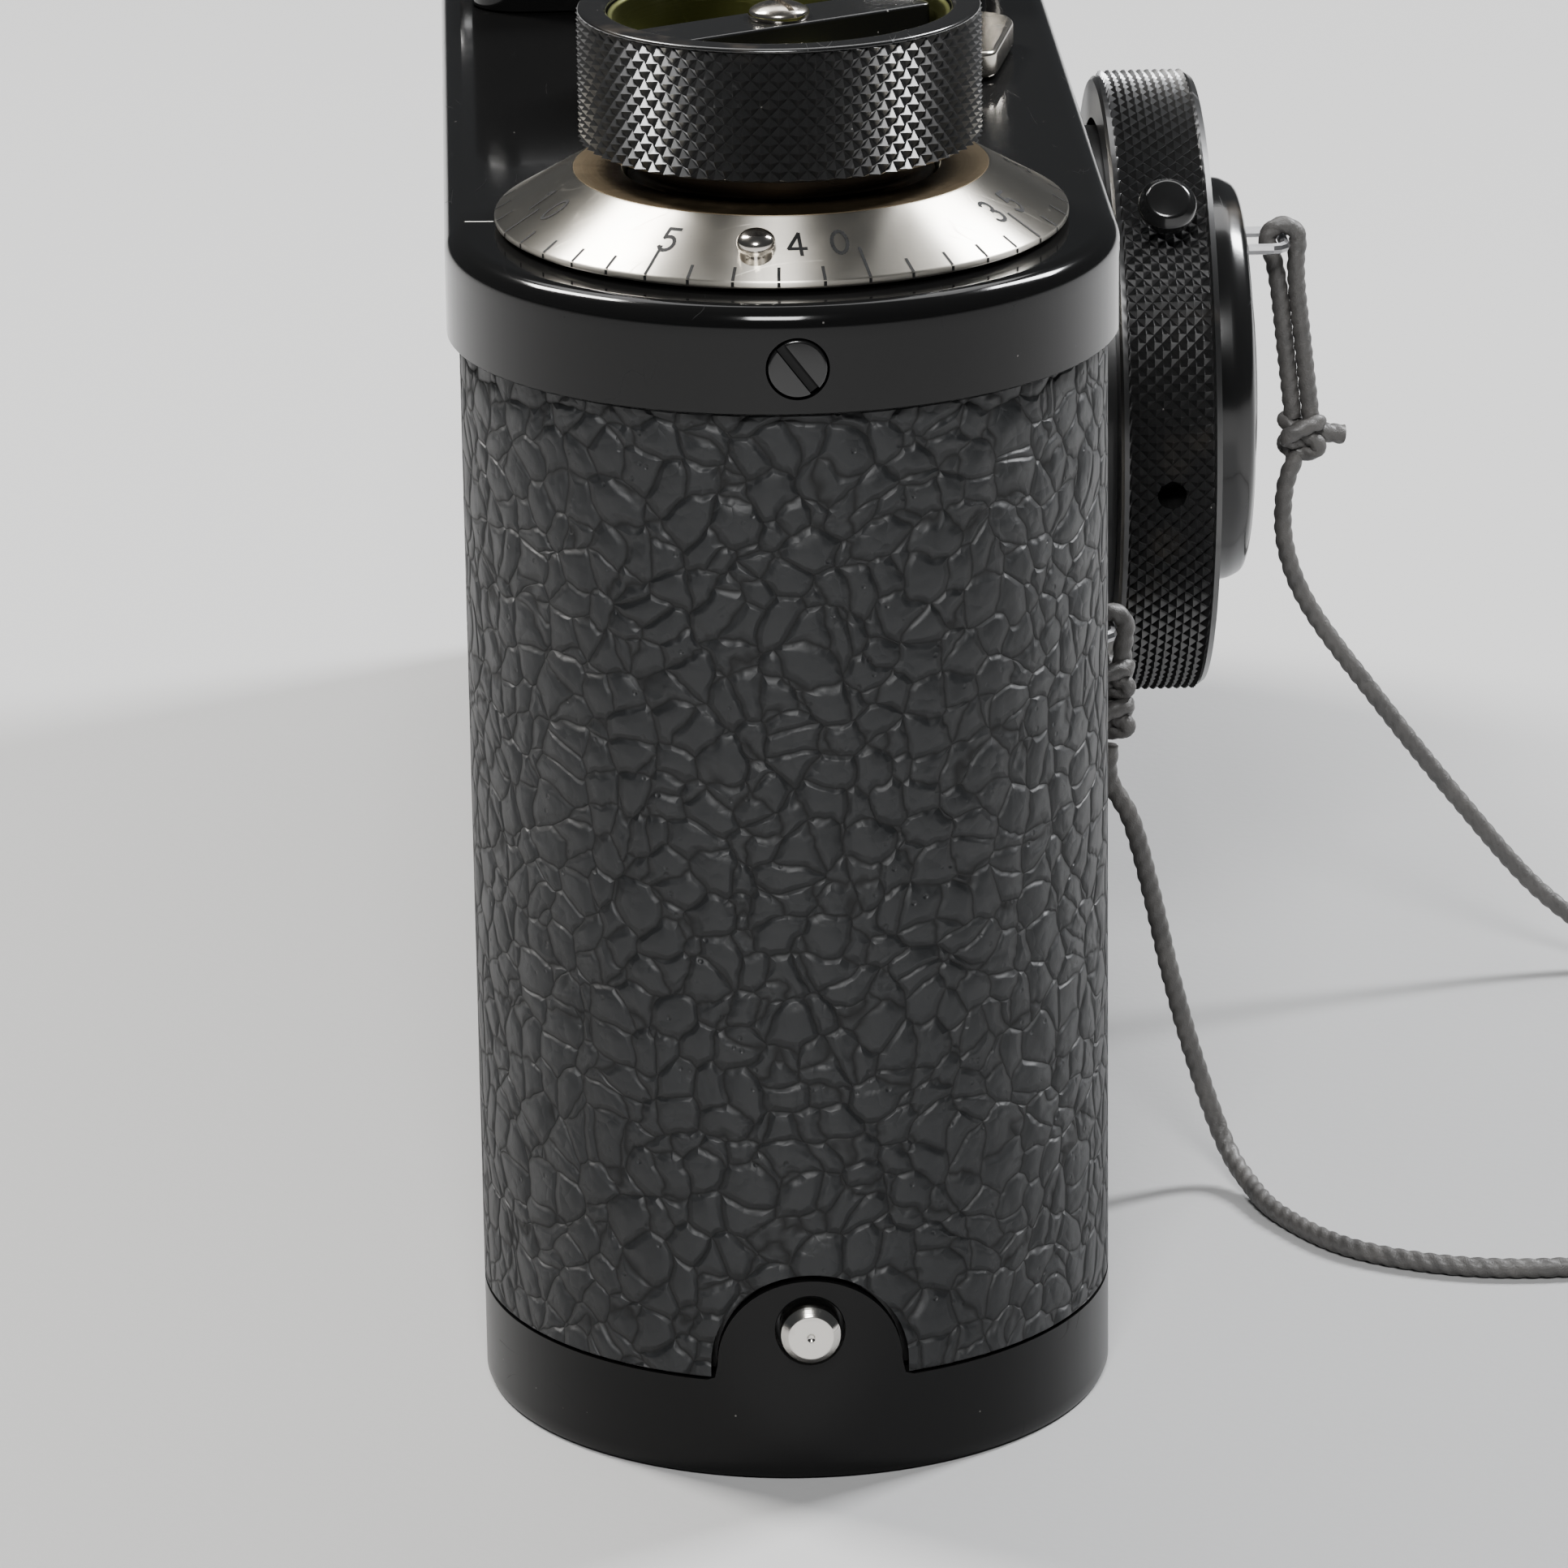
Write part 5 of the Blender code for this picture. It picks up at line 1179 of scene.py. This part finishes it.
# ---- other controls ---------------------------------------------------------
@dataclass
class TopControls:
    """Speed dial, release, reverse lever and rewind knob."""
    speed_x: float = -26.7
    release: tuple[float, float] = (-36.0, -6.0)
    lever: tuple[float, float] = (-19.0, -10.8)
    top: float = 56.6

    def speed(self) -> None:
        """Makes the speed dial and its numbers."""
        at = (self.speed_x, 0, 0)
        z = self.top + 0.15
        band = Knurl(5.6, z + 3.0, z + 5.7, 40, 3, 0.3)
        before = [(0, z), (7.15, z), (7.4, z + 0.15), (7.4, z + 2.2), (7.2, z + 2.4), (5.9, z + 2.45),
                  (5.35, z + 2.5), (5.35, z + 2.9)]
        after = [(5.35, z + 5.8), (5.2, z + 6.1), (4.9, z + 6.15), (0, z + 6.15)]
        nickel = Metal("speed_nickel", axis=Way.UP, centre=at, marks=0.009)
        place("shutter_dial", band.turn(before, after, at, Way.UP.value, ring=False), nickel, "speed",
              ["speed_dial"], sharp=24)
        marks = Shape()
        for k, text in enumerate(("20", "30", "40", "60", "100", "200", "500", "Z")):
            a0 = math.radians(200 + 40 * k)

            def wrap(x: float, y: float, a0: float = a0) -> Point:
                """Wraps onto the dial's side."""
                a = a0 + x / 7.4
                return (self.speed_x + 7.412 * math.cos(a), 7.412 * math.sin(a), z + 1.2 + y)
            marks.join(stroke_shape(written(text, 1.25, 1.05), 0.13, wrap))
        place("speed_engraving", marks, BLACK_FILL_AND_SLOT_SHADE, "speed")
        redress("speed_spindle", STEEL)

    def release_and_lever(self) -> None:
        """Makes the release button in its collar and the reverse lever."""
        x, y = self.release
        z = self.top + 0.1
        collar = lathe([(1.9, z), (3.0, z), (3.0, z + 1.2), (2.7, z + 1.7), (1.9, z + 1.7)], (x, y, 0),
                       ring=True, ease=0.2)
        place("button_collar", collar, NICKEL, "body", ["release_collar"])
        place("shutter_button", lathe([(0, 50.6), (1.6, 50.6), (1.6, 59.3), (1.35, 59.75), (0.6, 59.8),
                                       (0.45, 59.4), (0, 59.35)], (x, y, 0), ease=0.2, steps=64), NICKEL,
              "release", ["release_button"])
        x, y = self.lever
        outline = []
        lean = math.degrees(math.asin(1.2 / 6.0))
        for cx, r, start, turn in ((x, 2.2, -90 - lean, 180 + 2 * lean),
                                   (x - 6.0, 1.0, 90 + lean, 180 - 2 * lean)):
            outline += [(cx + r * math.cos(math.radians(start + turn * i / 24)),
                         y + r * math.sin(math.radians(start + turn * i / 24))) for i in range(25)]
        lever = prism(outline, self.top + 0.12, self.top + 1.5)
        place("reversing_lever", lever, NICKEL, "reverse", ["reverse_lever"], bevel=0.25)

    def rewind(self) -> None:
        """Makes the rewind knob."""
        at, low = (SIZE.axis_x, 0, 0), self.top + 0.3 + 1.1
        high = low + 6.0
        band = Knurl(7.6, low + 0.3, high - 0.5, 56, 6)
        before = [(1.9, high - 2.2), (1.9, low), (7.2, low), (7.3, low + 0.15)]
        after = [(7.3, high - 0.45), (7.48, high - 0.4), (7.45, high - 0.1), (7.2, high), (6.5, high),
                 (6.3, high - 0.2), (6.3, high - 1.0), (0, high - 1.0)]
        place("rewinding_knob", band.turn(before, after, at, Way.UP.value, ring=False), BLACK_KNURL,
              "rewind", ["rewind_knob"], sharp=24)
        r, tip = 4.6, 2.7
        x, y = r * math.cos(tip), r * math.sin(tip)
        arrow = [[(r * math.cos(a), r * math.sin(a)) for a in np.linspace(0.4, tip, 24)],
                 [(x + 0.9, y + 1.0), (x, y), (x + 0.1, y + 1.4)]]
        mark = stroke_shape(arrow, 0.28, lambda x, y: (SIZE.axis_x + x, y, high - 0.985))
        place("rewind_arrow", mark, WHITE_FILL, "rewind")
        for node, finish in (("rewind_shaft", STEEL), ("rewind_sleeve", BRASS), ("film_cassette", BRASS),
                             ("cassette_spool", SATIN)):
            redress(node, finish)

    def build(self) -> None:
        """Makes the controls."""
        self.speed()
        self.release_and_lever()
        self.rewind()


# ---- finder -----------------------------------------------------------------
@dataclass
class Finder:
    """Housing with windows, eyepieces and the accessory shoe."""
    x0: float = -9.0
    x1: float = 41.0
    front: float = 12.5
    back: float = 14.0
    low: float = 56.9
    high: float = 65.1

    def build(self) -> None:
        """Makes the finder."""
        mid = (self.x0 + self.x1) / 2
        z = self.low + 8.2 * 0.47
        outline = (lambda inset: rounded_box(self.x0 + inset, self.x1 - inset, -self.front + inset,
                                             self.back - inset, 2.6 - min(inset, 1.56)))
        cuts = []
        for dx in (-19, 19):
            cuts.append(lathe([(0, 9), (3.2, 9), (3.2, 15), (0, 15)], (mid + dx, 0, z), Way.FRONT.value,
                              ease=0))
        for dx in (-3.75, 3.75):
            cuts.append(lathe([(0, 11), (2.85, 11), (2.85, 16), (0, 16)], (mid + dx, 0, z), Way.BACK.value,
                              ease=0))
        cuts.append(slab(mid - 4.65, mid + 4.65, -15, -9.5, z - 2.75, z + 2.75))
        place("finder_housing", pan(outline, self.low - 0.25, self.high, 1.0, 1.0, 0.9), BLACK, "body",
              ["rangefinder_housing"], cut=cuts)
        for dx, node in ((-19, "rangefinder_window_near"), (19, "rangefinder_window_far")):
            at = (mid + dx, 0, z)
            rim = lathe([(2.3, 11.3), (3.1, 11.3), (3.1, 13.1), (2.9, 13.38), (2.3, 13.38)], at,
                        Way.FRONT.value, ring=True, ease=0.1, steps=64)
            place(node + "_rim", rim, NICKEL, "body")
            pane = lathe([(0, 11.5), (2.35, 11.5), (2.35, 12.3), (0, 12.3)], at, Way.FRONT.value, steps=48)
            place(node + "_pane", pane, CLEAR, "body", [node])
        pane = slab(mid - 4.4, mid + 4.4, -12.5, -11.4, z - 2.5, z + 2.5)
        place("finder_pane", pane, CLEAR, "body", ["finder_window"], bevel=0.15)
        mask = rounded_box(mid - 4.6, mid + 4.6, z - 2.7, z + 2.7, 0.5)
        hole = rounded_box(mid - 3.9, mid + 3.9, z - 2.05, z + 2.05, 0.3)
        frame_ring = loft([[(x, y, h) for x, h in loop] for loop, y in
                           ((mask, -11.2), (mask, -12.75), (hole, -12.75), (hole, -11.2))], closed=True)
        place("finder_frame", frame_ring, SATIN, "body", bevel=0.1)
        for dx, node in ((-3.75, "rangefinder_eyepiece"), (3.75, "finder_eyepiece")):
            at = (mid + dx, 0, z)
            ring = lathe([(1.3, 12.8), (2.7, 12.8), (2.7, 14.5), (2.4, 14.9), (1.9, 14.9), (1.3, 14.1)], at,
                         Way.BACK.value, ring=True, steps=64, ease=0.12)
            place(node + "_ring", ring, BLACK_WORN, "body", [node])
            lens = lathe([(0, 13.0), (1.4, 13.0), (1.4, 13.7), (0.7, 13.9), (0, 13.95)], at, Way.BACK.value,
                         steps=48)
            place(node + "_lens", lens, CLEAR, "body")
        half, lip, w, slot = 10.5, 2.2, 1.2, 1.9
        z0, rail = self.high + 0.05, w + slot + w * 0.8
        section = [(-half, 0), (half, 0), (half, rail), (half - lip, rail), (half - lip, w + slot),
                   (half - w, w + slot), (half - w, w), (-half + w, w), (-half + w, w + slot),
                   (-half + lip, w + slot), (-half + lip, rail), (-half, rail)]
        shoe = loft([[(mid + x, y, z0 + h + (0.25 if h else 0)) for x, h in section] for y in (-9, 9)])
        place("shoe_rails", shoe, NICKEL, "body", ["accessory_shoe"], bevel=0.18)
        for dx in (-6, 6):
            for y in (-5.5, 5.5):
                name = f"shoe_screw_{'a' if dx < 0 else 'b'}{'1' if y < 0 else '2'}"
                head = lathe([(0, z0 + 1.3), (1.3, z0 + 1.3), (1.3, z0 + 1.55), (0, z0 + 1.75)],
                             (mid + dx, y, 0), steps=40)
                cut = slab(mid + dx - 0.15, mid + dx + 0.15, y - 2, y + 2, z0 + 1.6, z0 + 3)
                place(name, head, STEEL, "body", cut=[cut])
        redress("rangefinder_arm", STEEL)


# ---- lens -------------------------------------------------------------------
@dataclass
class Lens:
    """Flange, focusing mount, collapsible tube, optics and cap."""
    at: Point = (0, 0, 33.8)
    grip: Point = (0, -21.3, 33.8)

    def turned(self, name: str, profile: Profile, finish: Finish, body: str, stands_for: Sequence[str],
               slot: str, ring: bool = True, ease: float = 0.12, cut: Sequence[Shape] = ()
               ) -> bpy.types.Object:
        """Places a piece turned about the lens axis, with distances forward."""
        shape = lathe(profile, self.at, Way.FRONT.value, ring=ring, steps=144, ease=ease)
        return place(name, shape, finish, body, stands_for, cut=cut)

    def mount(self) -> None:
        """Makes the flange, sleeve and focus ring."""
        self.turned("mount_flange", [(14.0, 14.4), (16.0, 14.4), (16.0, 16.9), (15.7, 17.2), (14.0, 17.2)],
                    LENS_NICKEL, "body", ["lens_flange"], "black_paint", ease=0.3)
        sleeve = [(10.1, 9.0), (13.6, 9.0), (13.6, 23.4), (13.4, 23.6), (11.1, 23.6), (11.1, 18.6),
                  (10.1, 18.6)]
        self.turned("carrier_sleeve", sleeve, SATIN, "carrier", ["focus_sleeve"], "brass")
        band = Knurl(16.5, 19.2, 23.4, 120, 5)
        before = [(14.0, 18.7), (16.0, 18.7), (16.2, 18.85), (16.2, 19.1)]
        after = [(16.2, 23.5), (16.3, 23.6), (16.1, 23.9), (15.2, 23.9), (15.0, 23.75), (14.0, 23.75)]
        hole = lathe([(0, 12), (0.75, 12), (0.75, 18), (0, 18)], self.grip, (-0.995, 0, -0.1), steps=24,
                     ease=0)
        place("focusing_ring", band.turn(before, after, self.at, Way.FRONT.value), BLACK_KNURL, "focus",
              ["focus_ring"], sharp=24, cut=[hole])
        radial = (math.cos(math.radians(135)), 0, math.sin(math.radians(135)))
        catch = lathe([(0, 15.1), (0.5, 15.1), (0.5, 17.7), (1.35, 17.7), (1.5, 17.9), (1.5, 18.5),
                       (1.1, 18.95), (0, 19.05)], self.grip, radial, steps=48, ease=0.15)
        place("infinity_catch", catch, BLACK_WORN, "catch", ["focus_catch"])

    def optics(self) -> None:
        """Makes the tube, barrel, glasses, iris and aperture ring."""
        self.turned("collapsible_tube", [(8.7, -4.0), (9.7, -4.0), (9.7, 22.7), (8.7, 22.7)], LENS_NICKEL,
                    "collapsible", ["lens_tube"], "nickel")
        cone = [(4.5, 13.1), (8.4, 13.1), (8.4, 21.5), (7.0, 21.5)] + [
            (6.6 - 0.25 * (i // 2), 21.2 - 0.22 * ((i + 1) // 2)) for i in range(12)] + [(4.5, 19.6)]
        self.turned("optics_barrel", cone, SATIN, "collapsible", ["lens_barrel"], "black_paint", ease=0.05)
        self.turned("front_element", [(0, 17.5), (2.5, 17.6), (4.3, 17.9), (4.3, 19.1)]
                    + [(4.2 * math.cos(t), 19.15 + 0.85 * math.sin(t)) for t in np.linspace(0.1, 1.5, 9)]
                    + [(0, 20.0)], BLOOMED, "collapsible", ["front_glass"], "glass", ring=False, ease=0.05)
        rear = [(0, 13.3), (3.0, 13.6), (4.2, 14.1), (4.2, 15.9), (2.6, 16.2), (0, 16.3)]
        self.turned("rear_element", rear, BLOOMED, "collapsible", ["rear_glass"], "glass", ring=False)
        blades = Shape()
        for k in range(10):
            a = TAU * k / 10
            blade = prism([(1.7, -1.9), (4.1, -1.5), (4.3, 0.8), (3.2, 2.6), (1.9, 0.9)], 0.0, 0.05)
            blades.join(blade.moved(aim(self.at, Way.FRONT.value) @ Matrix.Rotation(a, 4, "Z")
                                    @ Matrix.Translation((0, 0, 16.6 + 0.02 * k))))
        place("iris_leaves", blades, BLACKENED, "collapsible", ["iris_blades"])
        self.turned("stop_ring", [(6.5, 21.8), (8.2, 21.8), (8.2, 22.3), (6.5, 22.3)], LENS_NICKEL,
                    "aperture", ["aperture_ring"], "nickel", ease=0.08)

    def cap(self) -> None:
        """Makes the slip-on cap."""
        shell = [(0, 25.7), (10.0, 25.7), (10.0, 21.6), (10.7, 21.6), (10.7, 25.3), (10.3, 26.1),
                 (9.7, 26.3), (6.9, 26.3), (6.6, 26.62), (6.2, 26.7), (0, 26.7)]
        self.turned("slip_on_cap", shell, BLACK_WORN, "cap", ["lens_cap"], "black_paint", ring=False,
                    ease=0.3)

    def build(self) -> None:
        """Makes the lens."""
        self.mount()
        self.optics()
        self.cap()


# ---- inside -----------------------------------------------------------------
@dataclass
class Interior:
    """Works inside the casing, seen only when the base swings away."""
    finishes: dict[str, Finish] = field(default_factory=lambda: {
        "shutter_crate": BLACKENED, "film_gate": STEEL, "pressure_plate": BLACKENED,
        "shutter_curtain": CURTAIN, "curtain_drum": BRASS})

    def build(self) -> None:
        """Dresses the inner pieces."""
        for node, finish in self.finishes.items():
            redress(node, finish)


def main() -> None:
    """Builds the studio and the camera."""
    logging.basicConfig(level=logging.INFO, format="%(message)s")
    for part in (Studio(), Tether(), Casing(), WindingEnd(), TopControls(), Finder(), Lens(), Interior()):
        log.info("building %s", type(part).__name__)
        part.build()


if __name__ == "__main__":
    main()
